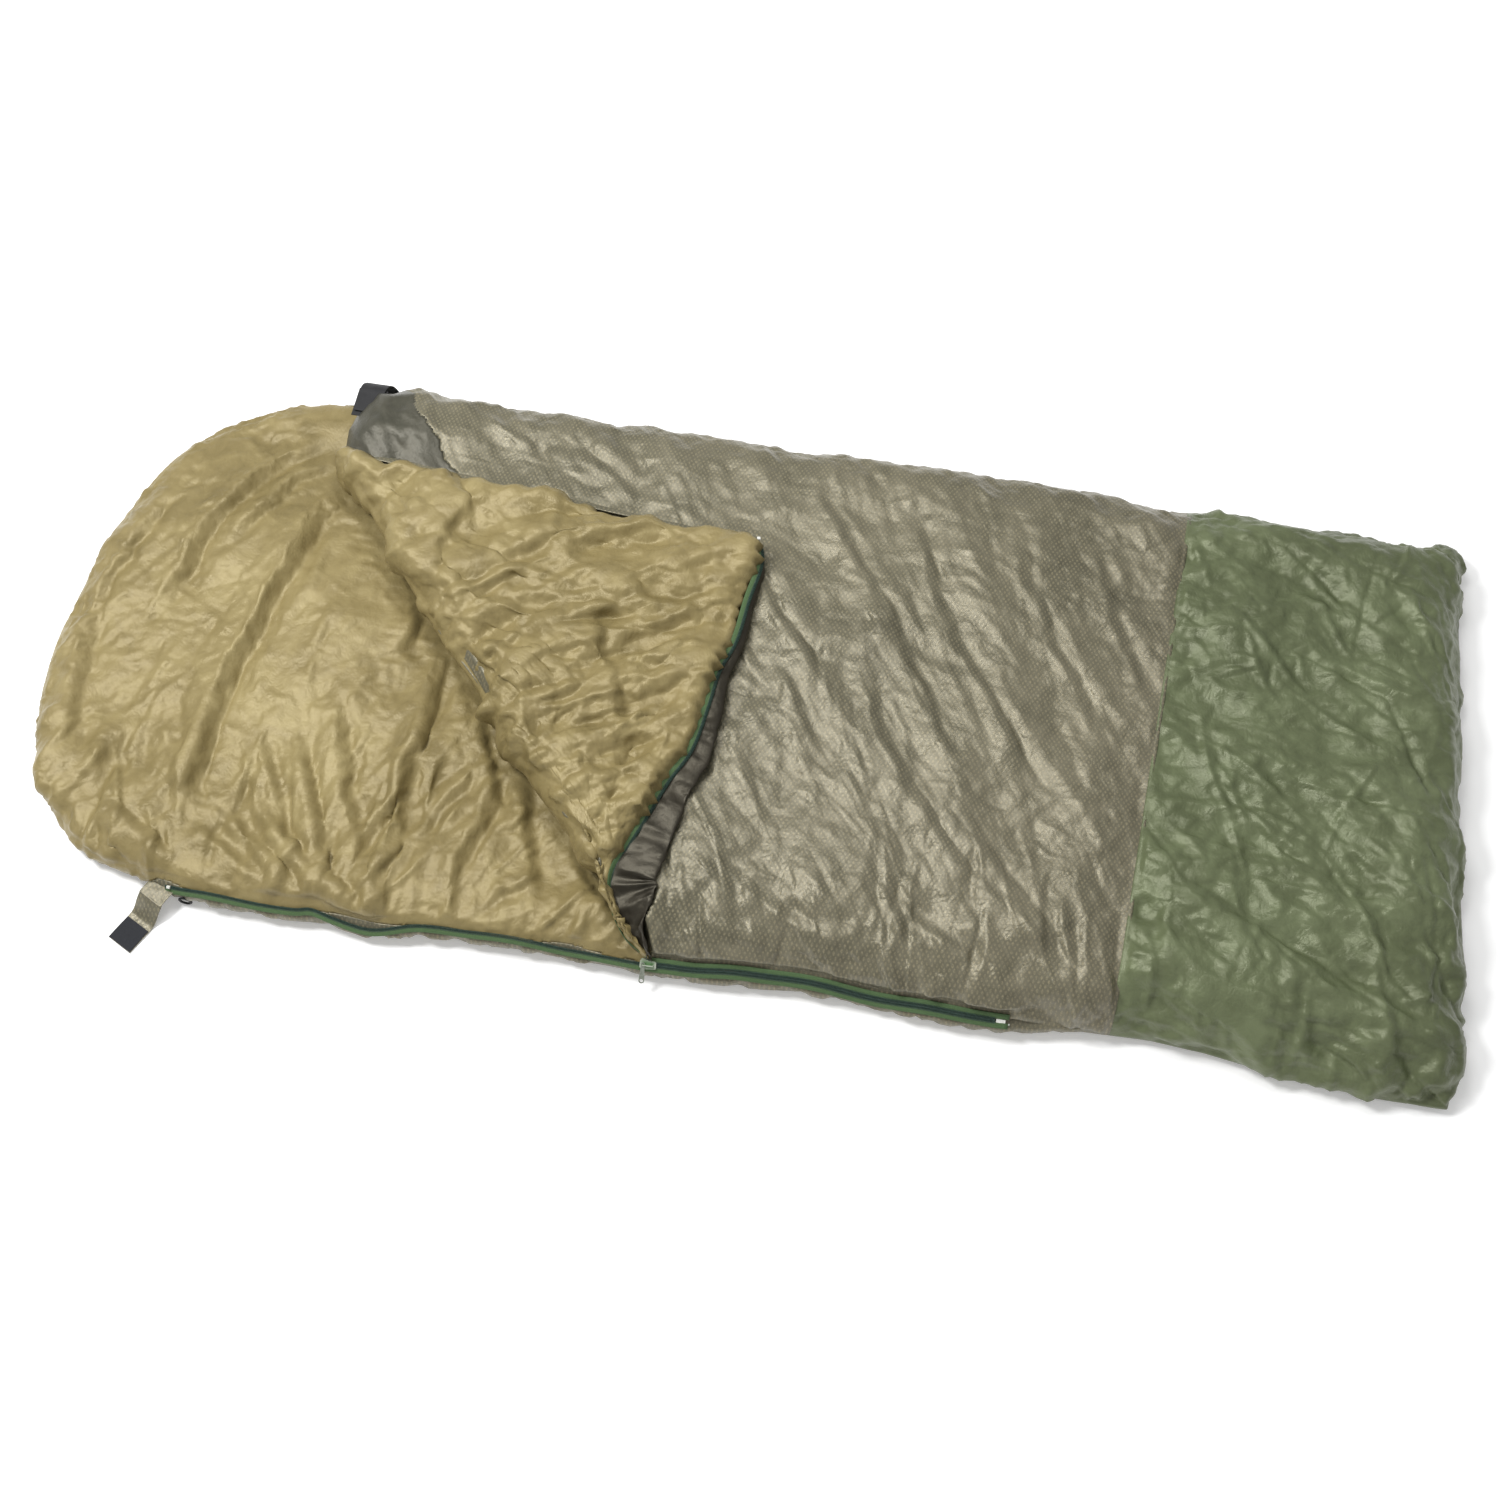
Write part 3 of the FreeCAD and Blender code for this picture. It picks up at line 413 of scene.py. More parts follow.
def zip_y(x):
    return np.interp(x, zs[:, 0], zs[:, 1])
def zip_z(x):
    # rises and falls a little with the padding, level by the slider
    d = smooth((np.abs(x + .066) - .03) / .12)
    return ZZ + d * (.005 * np.sin(x * 17.0 + .6) + .003 * np.sin(x * 41.0))
S0 = np.array([-.066, -.450])
AXIS = math.radians(133)
AD = np.array([math.cos(AXIS), math.sin(AXIS)])
AN = np.array([math.sin(AXIS), -math.cos(AXIS)])
SEAM_X = 0.617

# free edge of the opened corner, with the zip on it
ZIPE = [(-.0665, -.4500, .0470), (-.082, -.4430, .056), (-.106, -.4290, .070), (-.130, -.3960, .090), (-.140, -.3510, .104), (-.127, -.3070, .114), (-.104, -.2430, .120), (-.088, -.1960, .123),
        (-.064, -.1410, .126), (-.054, -.0710, .128), (-.048, -.0070, .129), (-.032, .0490, .130), (-.026, .1210, .131), (-.018, .1870, .132), (-.029, .2270, .133)]
BUL_B, BUL_V = [0, .05, .10, .17, .26, .40, .55, .75, 1], [.002, .030, .062, .080, .070, .048, .032, .018, .010]
print("tools ready")
# ------------------------------------------------------------------ base: wadded pad, gold inside, taupe outside
GOLD_FOLDS = {
  "A": [(-0.735, 0.405), (-0.828, 0.322), (-0.892, 0.227), (-0.934, 0.110), (-0.943, -0.022)],
  "A2": [(-0.730, 0.356), (-0.797, 0.285), (-0.844, 0.202), (-0.880, 0.119)],
  "B": [(-0.719, 0.302), (-0.756, 0.205), (-0.769, 0.115), (-0.791, 0.017), (-0.811, -0.071), (-0.813, -0.159), (-0.809, -0.232), (-0.809, -0.292), (-0.80, -0.370)],
  "C": [(-0.980, 0.242), (-1.033, 0.099), (-1.055, -0.043)],
  "D": [(-0.635, -0.095), (-0.602, -0.191), (-0.569, -0.269), (-0.531, -0.340), (-0.492, -0.445)],
  "E": [(-0.675, -0.149), (-0.646, -0.231), (-0.611, -0.309), (-0.566, -0.408), (-0.486, -0.468)],
  "F": [(-0.737, -0.167), (-0.703, -0.241), (-0.663, -0.317), (-0.61, -0.40)],
  "G": [(-0.491, 0.013), (-0.486, -0.103), (-0.493, -0.191), (-0.483, -0.300), (-0.487, -0.395), (-0.483, -0.468)],
  "H": [(-0.344, -0.166), (-0.359, -0.279), (-0.377, -0.376), (-0.375, -0.452)],
  "I": [(-0.325, -0.176), (-0.297, -0.268), (-0.257, -0.387)],
  "J": [(-0.411, -0.090), (-0.370, -0.184), (-0.328, -0.273)],
  "K": [(-0.787, -0.352), (-0.721, -0.391), (-0.637, -0.441)],
  "L": [(-0.740, -0.327), (-0.669, -0.382), (-0.588, -0.449)],
  "M": [(-0.700, -0.304), (-0.625, -0.374), (-0.545, -0.442)],
  "N": [(-0.232, -0.290), (-0.171, -0.361), (-0.096, -0.436)],
  "O": [(-0.932, -0.343), (-0.857, -0.381), (-0.792, -0.436)],
  "P": [(-1.060, -0.018), (-1.032, -0.187), (-0.993, -0.321)],
  "Q": [(-0.591, 0.144), (-0.548, 0.040), (-0.553, -0.034)],
}
GOLD_SIZE = {"A": (.009, .017), "A2": (.006, .013), "B": (.012, .018), "C": (.005, .012), "D": (.008, .015), "E": (.008, .014), "F": (.007, .013),
             "G": (.009, .016), "H": (.007, .014), "I": (.007, .014), "J": (.006, .012), "K": (.006, .012), "L": (.006, .011), "M": (.007, .012),
             "N": (.006, .012), "O": (.006, .013), "P": (.006, .02), "Q": (.006, .016)}

def outline_base():
    near_x = np.linspace(.98, -.80, 60)
    pts = [(x, zip_y(x) - .009 if x < .45 else np.interp(x, [.45, .52, .60, .66, .74, .86, .98], [zip_y(.45) - .009, -.446, -.434, -.431, -.435, -.449, -.460])) for x in near_x]
    head = catmull(HEAD, 90)
    pts += [tuple(p) for p in head if p[0] < -.845 or p[1] > 0]
    pts += [(x, .455 - .004 * smooth((x + .2) / .6)) for x in np.linspace(-.66, .98, 50)]
    r = .055
    cx, cyf, cyn = 1.070 - r, .451 - r, -.459 + r
    for a in np.linspace(90, 0, 9):
        pts.append((cx + r * math.cos(math.radians(a)), cyf + r * math.sin(math.radians(a))))
    for a in np.linspace(0, -90, 9):
        pts.append((cx + r * math.cos(math.radians(a)), cyn + r * math.sin(math.radians(a))))
    p = np.array(pts)
    p = np.vstack([p, p[:1]])
    s = np.r_[0, np.cumsum(np.linalg.norm(np.diff(p, axis=0), axis=1))]
    n = 420
    q = np.linspace(0, s[-1], n, endpoint=False)
    p = np.stack([np.interp(q, s, p[:, 0]), np.interp(q, s, p[:, 1])], 1)
    for _ in range(4):
        p = (np.roll(p, 1, 0) + 2 * p + np.roll(p, -1, 0)) / 4
    return p

OUTB = outline_base()

def inset(p, d):
    t = np.roll(p, -1, 0) - np.roll(p, 1, 0)
    t /= np.linalg.norm(t, axis=1)[:, None]
    n = np.stack([t[:, 1], -t[:, 0]], 1)      # the outline runs clockwise seen from above
    area = np.sum(p[:, 0] * np.roll(p[:, 1], -1) - np.roll(p[:, 0], -1) * p[:, 1])
    if area > 0:
        n = -n
    return p + n * d

def base_height(x, y):
    """top of the padding: full at the open head, pressed down under the cover"""
    r = (x - S0[0]) * AN[0] + (y - S0[1]) * AN[1]
    return .0585 - .0105 * smooth((r + .05) / .10) - .013 * smooth((r + .13) / .10) * smooth((.40 - np.abs(y)) / .07)

def behind_zip(c):
    """keeps the cloth beside the side zips just behind the tapes, so that nothing crosses them"""
    for sg in (-1, 1):
        zy = zip_y(c[:, 0]) if sg < 0 else np.full(len(c), -ZY)
        zz = zip_z(c[:, 0]) if sg < 0 else np.full(len(c), ZZ)
        dy = (c[:, 1] - zy) * -sg
        dz = c[:, 2] - zz
        t = (dy + dz) * math.sqrt(.5)
        d = (-dy + dz) * math.sqrt(.5)
        k = 1 - smooth((np.abs(t) - .016) / .008)
        k = k * smooth((c[:, 0] + .835) / .02) * (1 - smooth((c[:, 0] - .455) / .02)) * (c[:, 1] * sg > .38)
        ex = np.maximum(d + .0022, 0) * k
        ex = np.minimum(ex, .014)
        c[:, 1] -= sg * ex * math.sqrt(.5)
        c[:, 2] -= ex * math.sqrt(.5)
    return c

def pad_solid(name, outl, prof, voxel):
    loops = []
    for d, z in prof:
        q = inset(outl, d)
        loops.append(np.column_stack([q, np.full(len(q), z)]))
    n = len(outl)
    v = np.vstack(loops)
    f = []
    for k in range(len(loops) - 1):
        for i in range(n):
            j = (i + 1) % n
            f.append((k * n + i, (k + 1) * n + i, (k + 1) * n + j, k * n + j))
    f.append(tuple(range(n)))
    f.append(tuple((len(loops) - 1) * n + i for i in range(n))[::-1])
    ob = new_mesh(name, v, f)
    bm = bmesh.new(); bm.from_mesh(ob.data)
    bmesh.ops.recalc_face_normals(bm, faces=bm.faces)
    bm.to_mesh(ob.data); bm.free()
    m = ob.modifiers.new("vox", "REMESH")
    m.mode = "VOXEL"; m.voxel_size = voxel; m.use_smooth_shade = True
    bake(ob)
    return ob

def coords(ob):
    a = np.empty(len(ob.data.vertices) * 3)
    ob.data.vertices.foreach_get("co", a)
    return a.reshape(-1, 3)

def normals(ob):
    a = np.empty(len(ob.data.vertices) * 3)
    ob.data.vertex_normals.foreach_get("vector", a)
    return a.reshape(-1, 3)

def setco(ob, c):
    ob.data.vertices.foreach_set("co", c.ravel())
    ob.data.update()

def cloth_pass(ob, frames, pin, cap, shrink=-0.04, pressure=0.6, mass=0.25, quality=4, bend=0.4, tension=12.0, seed_amp=0.0):
    """lets the cloth grow a little, held at its seams, so that it buckles into real wrinkles; movement is capped"""
    rest = coords(ob).copy()
    vg = ob.vertex_groups.new(name="pin")
    w = np.clip(pin, 0, 1)
    order = np.round(w * 20).astype(int)
    for k in range(1, 21):
        idx = np.nonzero(order == k)[0]
        if len(idx):
            vg.add([int(i) for i in idx], k / 20.0, "REPLACE")
    m = ob.modifiers.new("cloth", "CLOTH")
    s = m.settings
    s.quality = quality
    s.mass = mass
    s.tension_stiffness = s.compression_stiffness = tension
    s.shear_stiffness = tension * .5
    s.bending_stiffness = bend
    s.tension_damping = s.compression_damping = 8
    s.shear_damping = 8
    s.bending_damping = 2
    s.air_damping = 2.5
    s.vertex_group_mass = "pin"
    s.pin_stiffness = 1.0
    s.shrink_min = shrink
    s.use_pressure = pressure > 0
    if pressure > 0:
        s.uniform_pressure_force = pressure
    s.effector_weights.gravity = 0
    m.collision_settings.use_collision = False
    m.point_cache.frame_start, m.point_cache.frame_end = 1, frames
    for f in range(1, frames + 1):
        scene.frame_set(f)
    dg = bpy.context.evaluated_depsgraph_get()
    me = bpy.data.meshes.new_from_object(ob.evaluated_get(dg))
    new = np.empty(len(me.vertices) * 3)
    me.vertices.foreach_get("co", new)
    new = new.reshape(-1, 3)
    bpy.data.meshes.remove(me)
    ob.modifiers.clear()
    ob.vertex_groups.clear()
    d = new - rest
    l = np.linalg.norm(d, axis=1)
    k = np.where(l > cap, cap / np.maximum(l, 1e-9), 1.0)
    setco(ob, rest + d * k[:, None])
    scene.frame_set(1)
    print("cloth", ob.name, "moved up to %.1f mm, mean %.2f" % (l.max() * 1000, l.mean() * 1000))

PROF = [(.040, .0006), (.022, .0010), (.010, .0050), (.003, .0130), (.0, .0240), (.0025, .0340), (.008, .0420), (.017, .0490), (.030, .0545), (.050, .0578), (.075, .0585)]
base = pad_solid("base_pad", OUTB, PROF, .0085)
c = coords(base)
top = smooth((c[:, 2] - .030) / .018)
c[:, 2] = np.where(c[:, 2] > .03, .03 + (c[:, 2] - .03) * (base_height(c[:, 0], c[:, 1]) - .03) / .0285, c[:, 2])
openw = 1 - smooth(((c[:, 0] - S0[0]) * AN[0] + (c[:, 1] - S0[1]) * AN[1] + .03) / .08)      # 1 where the padding is open to view
h = np.zeros(len(c))
for k, pts in GOLD_FOLDS.items():
    a, w = GOLD_SIZE[k]
    a *= 1.3
    h += a * polyline_field(c[:, 0] + .006 * noise(c[:, 0], c[:, 1], .06, 5), c[:, 1] + .006 * noise(c[:, 0], c[:, 1], .06, 6), pts, w)
h += .006 * fbm(c[:, 0], c[:, 1], .30, 21) + .0025 * fbm(c[:, 0], c[:, 1], .11, 22)
c[:, 2] += h * top * openw
# puckers where the lining is gathered to the near edge
edge = np.exp(-((c[:, 1] + .44) / .075) ** 2) * (c[:, 0] > -.88) * openw
c[:, 2] += top * edge * .0040 * facets(c[:, 0], c[:, 1] * .35, .045, 24, deg=90, stretch=1.5)
side = 1 - top
nrm = normals(base)
pk = .004 * ridged(c[:, 0], c[:, 2] * .6 + c[:, 1] * .2, .05, 25, deg=90, stretch=1.6) - .003
c += nrm * (side * pk * smooth(c[:, 2] / .006))[:, None]
c[:, 2] = np.maximum(c[:, 2], .0004)
setco(base, c)
pin = np.maximum(1 - top, 1 - openw * .98)
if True: cloth_pass(base, 12, pin, .0035, shrink=-0.015, pressure=0.0, bend=.25)
refine(base, lambda x, y, z: z > .02 and (x - S0[0]) * AN[0] + (y - S0[1]) * AN[1] < .07)
c = coords(base); nrm = normals(base)
top = smooth((c[:, 2] - .034) / .014)
openw = 1 - smooth(((c[:, 0] - S0[0]) * AN[0] + (c[:, 1] - S0[1]) * AN[1] + .03) / .08)

def gold_dir(cx, cy):
    # creases run out from the far head corner, and up from the near edge
    a = math.degrees(math.atan2(cy - .46, cx + .66))
    k = float(smooth((-.02 - cy) / .22)) * float(smooth((cx + 1.0) / .15))
    b = 90 + 28 * max(-1, min(1, (cx + .62) / .35)) * -1
    if a < 0: a += 180
    return a * (1 - k) + b * k
def near_edge(cx, cy):
    return .35 + 1.0 * float(smooth((-.10 - cy) / .25))
BOX = (-1.09, -.05, -.455, .455)
calm = .35 + .65 * smooth(.5 + 1.4 * noise(c[:, 0], c[:, 1], .17, 36))
nearb = smooth((-.06 - c[:, 1]) / .22)
fine = tents(c[:, 0], c[:, 1], 210, 31, BOX, (.09, .24), (.009, .019), gold_dir, 10, .36, grow=near_edge, asym=(.25, 1.2))
fine += tents(c[:, 0], c[:, 1], 420, 32, BOX, (.025, .08), (.005, .010), gold_dir, 30, .30)
fine += tents(c[:, 0], c[:, 1], 260, 33, BOX, (.05, .13), (.004, .008), lambda a, b: -8, 22, .28)
fo = .18 * foil(c[:, 0], c[:, 1], .11, 38, deg=70, stretch=2.0) + .22 * foil(c[:, 0], c[:, 1], .045, 39, deg=80, stretch=1.8)
fine += fo * calm * (.6 + .8 * nearb)
line_y = np.where(c[:, 1] < 0, c[:, 1] - zip_y(np.clip(c[:, 0], -.83, .5)), -ZY - c[:, 1])
zipk = np.where(c[:, 0] > -.82, smooth((line_y - .004) / .022), 1.0)
c += nrm * (fine * np.maximum(top, .35 * smooth((c[:, 2] - .02) / .01)) * np.maximum(openw, .15) * zipk)[:, None]
capz = np.where(openw < .5, .0515, .080)
c[:, 2] = np.minimum(c[:, 2], capz)
# the outside of the base wall: short upright puckers
wall = 1 - smooth((c[:, 2] - .030) / .012)
s = np.arctan2(c[:, 1], c[:, 0] * .5)
wt = tents(c[:, 0], c[:, 2] * 1.0 + 0 * s, 300, 35, (-1.0, 1.05, .0, .04), (.03, .08), (.007, .014), 68, 25, .34)
c += nrm * (np.minimum(wt, .0035) * wall * smooth(c[:, 2] / .005) * (np.abs(c[:, 1]) > .3))[:, None]
c = behind_zip(c)
c[:, 2] = np.maximum(c[:, 2], .0002)
setco(base, c)

def seam_z(x, y):
    s = .013 + (.0405 - .013) * smooth((x + .865) / .06) + .02 * smooth((x - .44) / .04)
    return np.where(y < 0, s, .013 + (.0405 - .013) * smooth((x + .80) / .07) + .02 * smooth((x - .44) / .04))

def split(ob, keep_mask, name):
    """a copy of ob with only the faces in keep_mask"""
    me = ob.data.copy(); o = bpy.data.objects.new(name, me); scene.collection.objects.link(o)
    bm = bmesh.new(); bm.from_mesh(me); bm.faces.ensure_lookup_table()
    bmesh.ops.delete(bm, geom=[f for f, k in zip(bm.faces, keep_mask) if not k], context="FACES")
    bm.to_mesh(me); bm.free()
    return o

def face_centres(ob):
    a = np.empty(len(ob.data.polygons) * 3)
    ob.data.polygons.foreach_get("center", a)
    return a.reshape(-1, 3)

fc = face_centres(base)
gold = (fc[:, 2] > seam_z(fc[:, 0], fc[:, 1])) | ((fc[:, 2] > .018) & (np.abs(fc[:, 1]) < .41) & (fc[:, 0] < .95) & (fc[:, 0] > -.80))
base_lining = split(base, gold, "base_lining_soft")
base_shell = split(base, ~gold, "base_shell_soft")
bpy.data.objects.remove(base)

def snap_border(ob):
    bm = bmesh.new(); bm.from_mesh(ob.data)
    for v in bm.verts:
        if v.is_boundary:
            z = float(seam_z(v.co.x, v.co.y))
            v.co.z += max(-.004, min(.004, z - v.co.z))
    bm.to_mesh(ob.data); bm.free()
for o in (base_lining, base_shell):
    snap_border(o)
    solidify(o, .0008)
setmat(base_lining, M_GOLD); setmat(base_shell, M_TAUPE)
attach(base_lining, "bag"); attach(base_shell, "bag")
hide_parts("base_lining", "base_insulation"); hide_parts("base_shell")
print("base done")

# ------------------------------------------------------------------ cover: outer skin in two colours
COVER_FOLDS = {
  "a": [(0.015, 0.384), (0.120, 0.231), (0.220, 0.085), (0.320, -0.088)],
  "b": [(0.188, 0.355), (0.260, 0.181), (0.358, 0.021), (0.458, -0.130)],
  "c": [(0.336, 0.380), (0.404, 0.206), (0.489, 0.061), (0.552, -0.048)],
  "d": [(0.010, 0.049), (0.090, -0.059), (0.184, -0.177), (0.275, -0.291)],
  "e": [(-0.021, -0.278), (0.082, -0.356), (0.193, -0.414)],
  "f": [(0.142, 0.090), (0.213, -0.072), (0.307, -0.205), (0.424, -0.328)],
  "g": [(-0.377, 0.378), (-0.301, 0.332), (-0.226, 0.286)],
  "h": [(-0.518, 0.414), (-0.440, 0.367), (-0.383, 0.298)],
  "i": [(-0.317, 0.408), (-0.263, 0.348), (-0.234, 0.323)],
  "j": [(0.329, -0.152), (0.417, -0.266), (0.513, -0.359)],
  "k": [(-0.049, 0.203), (0.052, 0.074), (0.129, -0.018)],
  "l": [(0.483, 0.329), (0.547, 0.158), (0.604, 0.029)],
  "m": [(0.247, -0.296), (0.328, -0.360), (0.436, -0.418)],
}

FOLD = [(-.066, -.445, .050), (-.100, -.405, .075), (-.147, -.355, .092), (-.225, -.285, .102), (-.296, -.214, .105), (-.341, -.165, .106), (-.419, -.072, .106),
        (-.476, -.010, .106), (-.538, .062, .106), (-.586, .122, .106), (-.652, .203, .106), (-.700, .262, .106), (-.718, .290, .106)]
FOLDA = np.array(FOLD)
def x_start(y):
    line = S0[0] + (y - S0[1]) * AD[0] / AD[1]
    sil = np.interp(y, FOLDA[:, 1], FOLDA[:, 0]) + .010
    line = line + .008 * smooth((y + .38) / .10)
    line = np.maximum(line, np.where(y > .02, sil + .003, -2))
    head = np.interp(y, [.29, .32, .35, .38, .40, .42, .44, .4585], [-.712, -.724, -.731, -.732, -.727, -.713, -.690, -.650])
    w = smooth((y - .262) / .03)
    return np.maximum(line * (1 - w) + head * w, -.742)

RN, RF = .105, .085
FX = .972       # where the foot end starts to round over
FOOTX = 1.080

def near_y(x):
    k = smooth((x - .44) / .12)
    lo = np.interp(x, [.45, .56, .66, .74, .86, 1.0], [-.446, -.440, -.437, -.443, -.459, -.470])
    return (zip_y(np.minimum(x, .45)) + .0045) * (1 - k) + lo * k
def near_z(x):
    k = smooth((x - .44) / .12)
    return (zip_z(x) + .0045) * (1 - k) + .016 * k
def far_z(x):
    k = smooth((x - .44) / .12)
    return .0465 * (1 - k) + .016 * k
def top_h(x, y):
    h = .108 - .010 * smooth((x - .1) / .9)
    h = h + .026 * smooth((y - .25) / .10) * smooth((-.40 - x) / .26)          # gathered at the far head corner
    h = h - .004 * np.exp(-((x - seam_x(y)) / .02) ** 2)                           # pulled in a little at the cross seam
    return h

def seam_x(y):
    return SEAM_X + .018 * y / .45

def cover_z_at(x, y):
    yn, zn = near_y(x), near_z(x)
    u = np.clip((y - yn) / RN, 0, 1)
    H = top_h(x, y)
    return zn + (H - zn) * np.sqrt(1 - (1 - u) ** 2)

def cover_surface(x, t, step):
    """x: position along, t: 0 near seam .. 1 far seam; returns points"""
    yn, yf = near_y(x), .4585 - .006 * smooth((x + .3) / .6)
    zn, zf = near_z(x), far_z(x)
    a, b = RN * 1.25, RF * 1.25       # lengths of the rolled sides, by arc
    flat = (yf - RF) - (yn + RN)
    tot = a + flat + b
    u = t * tot
    phi = np.clip(u / a, 0, 1) * np.pi / 2
    psi = np.clip((tot - u) / b, 0, 1) * np.pi / 2
    y_mid = yn + RN + (u - a)
    y = np.where(u < a, yn + RN * (1 - np.cos(phi)), np.where(u > tot - b, yf - RF * (1 - np.cos(psi)), y_mid))
    H = top_h(x, y)
    z = np.where(u < a, zn + (H - zn) * np.sin(phi), np.where(u > tot - b, zf + (H - zf) * np.sin(psi), H))
    return y, z

def cover_grid(name, xa_fn, xb, step, foot=False, lift=0.0):
    nc = int(1.12 / step)
    if foot:
        xs_flat = np.arange(xa_fn, FX, step)
        ang = np.linspace(0, 1, int(.16 / step) + 1)
        T = np.linspace(0, 1, nc)
        rows = []
        y0, z0 = cover_surface(np.full(nc, xa_fn), T, step)
        for x in xs_flat:
            k = (FX - x) / (FX - xa_fn)
            X = x + (seam_x(y0) - SEAM_X) * k
            y, z = cover_surface(X, T, step)
            rows.append(np.column_stack([X, y, z]))
        for a in ang[0:]:
            fxe = np.interp(T, [0, .12, .3, .5, .8, 1.0], [1.080, 1.090, 1.092, 1.083, 1.077, 1.066])
            X = FX + (fxe - FX) * math.sin(a * math.pi / 2)
            y, z = cover_surface(np.full(nc, FX), T, step)
            z0 = .014
            zz = z0 + (z - z0) * (math.cos(a * math.pi / 2) ** .9 if a < 1 else 0)
            yy = y * (1 - .004 * a ** 3)
            rows.append(np.column_stack([X, yy, zz]))
        G = np.array(rows)
    else:
        nr = int((xb + .76) / step)
        T = np.linspace(0, 1, nc)
        G = np.zeros((nr, nc, 3))
        y0, z0 = cover_surface(np.full(nc, 0.0), T, step)
        xs = x_start(y0)
        for i, s in enumerate(np.linspace(0, 1, nr)):
            X = xs + (xb + seam_x(y0) - SEAM_X - xs) * s
            y, z = cover_surface(X, T, step)
            G[i] = np.column_stack([X, y, z])
        # the head edge of the far part rolls down over the padding
        e = np.clip((G[:, :, 0] - x_start(G[:, :, 1])) / .070, 0, 1)
        roll = smooth((G[:, :, 1] - .26) / .05)
        k = np.sqrt(np.clip(1 - (1 - e) ** 2, 0, 1))
        low = .058
        G[:, :, 2] = np.where(G[:, :, 2] > low, low + (G[:, :, 2] - low) * (1 - roll + roll * k), G[:, :, 2])
    nr = len(G)
    return G, nr, nc

def grid_normals(G):
    du = np.gradient(G, axis=0); dv = np.gradient(G, axis=1)
    n = np.cross(du, dv)
    n /= np.maximum(np.linalg.norm(n, axis=2), 1e-12)[:, :, None]
    n[n[:, :, 2] < 0] *= 1
    return n

def cover_wrinkles(G, T, green):
    x, y = G[:, :, 0], G[:, :, 1]
    yy = (T - .5) * 1.05          # arc position, so that the sides get unstretched wrinkles
    d = .0055 * fbm(x, yy, .28, 41) + .0022 * fbm(x, yy, .10, 42)
    if not green:
        far = smooth((yy - .12) / .2) * smooth((-.15 - x) / .2)
        d += .0095 * far * facets(x, yy, .13, 46, deg=-35, stretch=2.2)
        for k, pts in COVER_FOLDS.items():
            d += .0060 * polyline_field(x + .006 * noise(x, yy, .05, 48), y + .006 * noise(x, yy, .05, 49), pts, .013)
    return d

def crisp_cover(ob, green):
    c = coords(ob); nrm = normals(ob)
    if nrm[:, 2].mean() < 0: nrm = -nrm
    # unrolled width: height counts on the sides
    x = c[:, 0]
    yy = c[:, 1] - (.105 - c[:, 2]) * .8 * smooth((-.36 - c[:, 1]) / .05) + (.105 - c[:, 2]) * .8 * smooth((c[:, 1] - .38) / .05)
    nb_ = smooth((-.02 - yy) / .20)
    if green:
        xx = x + (.1 - c[:, 2]) * .7 * smooth((x - 1.0) / .05)
        BX = (.58, 1.17, -.56, .56)
        d = .20 * foil(xx, yy, .12, 154, deg=-38, stretch=1.7) * (.65 + .6 * nb_)
        d += .20 * foil(xx, yy, .055, 155, deg=-25, stretch=1.5) * (.7 + .6 * nb_)
        d += .15 * foil(xx, yy, .024, 156, deg=30, stretch=1.5)
        d += tents(xx, yy, 120, 54, BX, (.10, .26), (.008, .016), lambda a, b: -45, 30, .38, asym=(.3, 1.5))
        d += tents(xx, yy, 360, 55, BX, (.03, .10), (.004, .008), lambda a, b: -10, 60, .34)
        d += .0020
    else:
        BX = (-.75, .65, -.56, .56)
        near = lambda a, b: .45 + .9 * float(smooth((-.16 - b) / .2))
        def dr(a, b):
            k = float(smooth((-.24 - b) / .14))
            return -62 * (1 - k) - 84 * k
        nz = smooth((-.20 - yy) / .2)
        d = .15 * foil(x, yy, .10, 157, deg=-62, stretch=2.2) + .24 * nz * foil(x, yy, .05, 158, deg=-80, stretch=1.7) + .12 * foil(x, yy, .035, 159, deg=-40, stretch=1.7)
        d += tents(x, yy, 230, 57, BX, (.10, .30), (.008, .018), dr, 11, .30, grow=near, asym=(.25, 1.3))
        d += tents(x, yy, 420, 58, BX, (.03, .10), (.005, .010), dr, 26, .28, grow=near)
        d += tents(x, yy, 380, 59, BX, (.03, .10), (.0030, .0055), lambda a, b: -10, 24, .36)
    ed = smooth((seam_x(c[:, 1]) - x) / .012) if not green else smooth((x - seam_x(c[:, 1]) - .002) / .012)
    low = smooth((c[:, 2] - near_z(x) - .001) / .022) if not green else smooth((c[:, 2] - .017) / .008)
    d = np.clip(d, -.014, .014) - .0030 * np.exp(-((x - seam_x(c[:, 1])) / .0035) ** 2)
    c += nrm * (d * (.15 + .85 * ed) * (.06 + .94 * low))[:, None]
    return c

def make_cover(name, G, nr, nc, green, pinrows):
    T = np.tile(np.linspace(0, 1, nc), (nr, 1))
    n = grid_normals(G)
    if n[nr // 2, nc // 2, 2] < 0:
        n = -n
    d = cover_wrinkles(G, T, green)
    edge = smooth(T / .02) * smooth((1 - T) / .02)
    rowk = np.ones(nr)
    if pinrows[0]: rowk[:4] = np.linspace(0, 1, 4)
    if pinrows[1]: rowk[-4:] = np.linspace(1, 0, 4)
    d = d * edge * rowk[:, None]
    G2 = G + n * d[:, :, None]
    ob = new_mesh(name, G2.reshape(-1, 3), grid_faces(nr, nc, flip=True))
    return ob, T

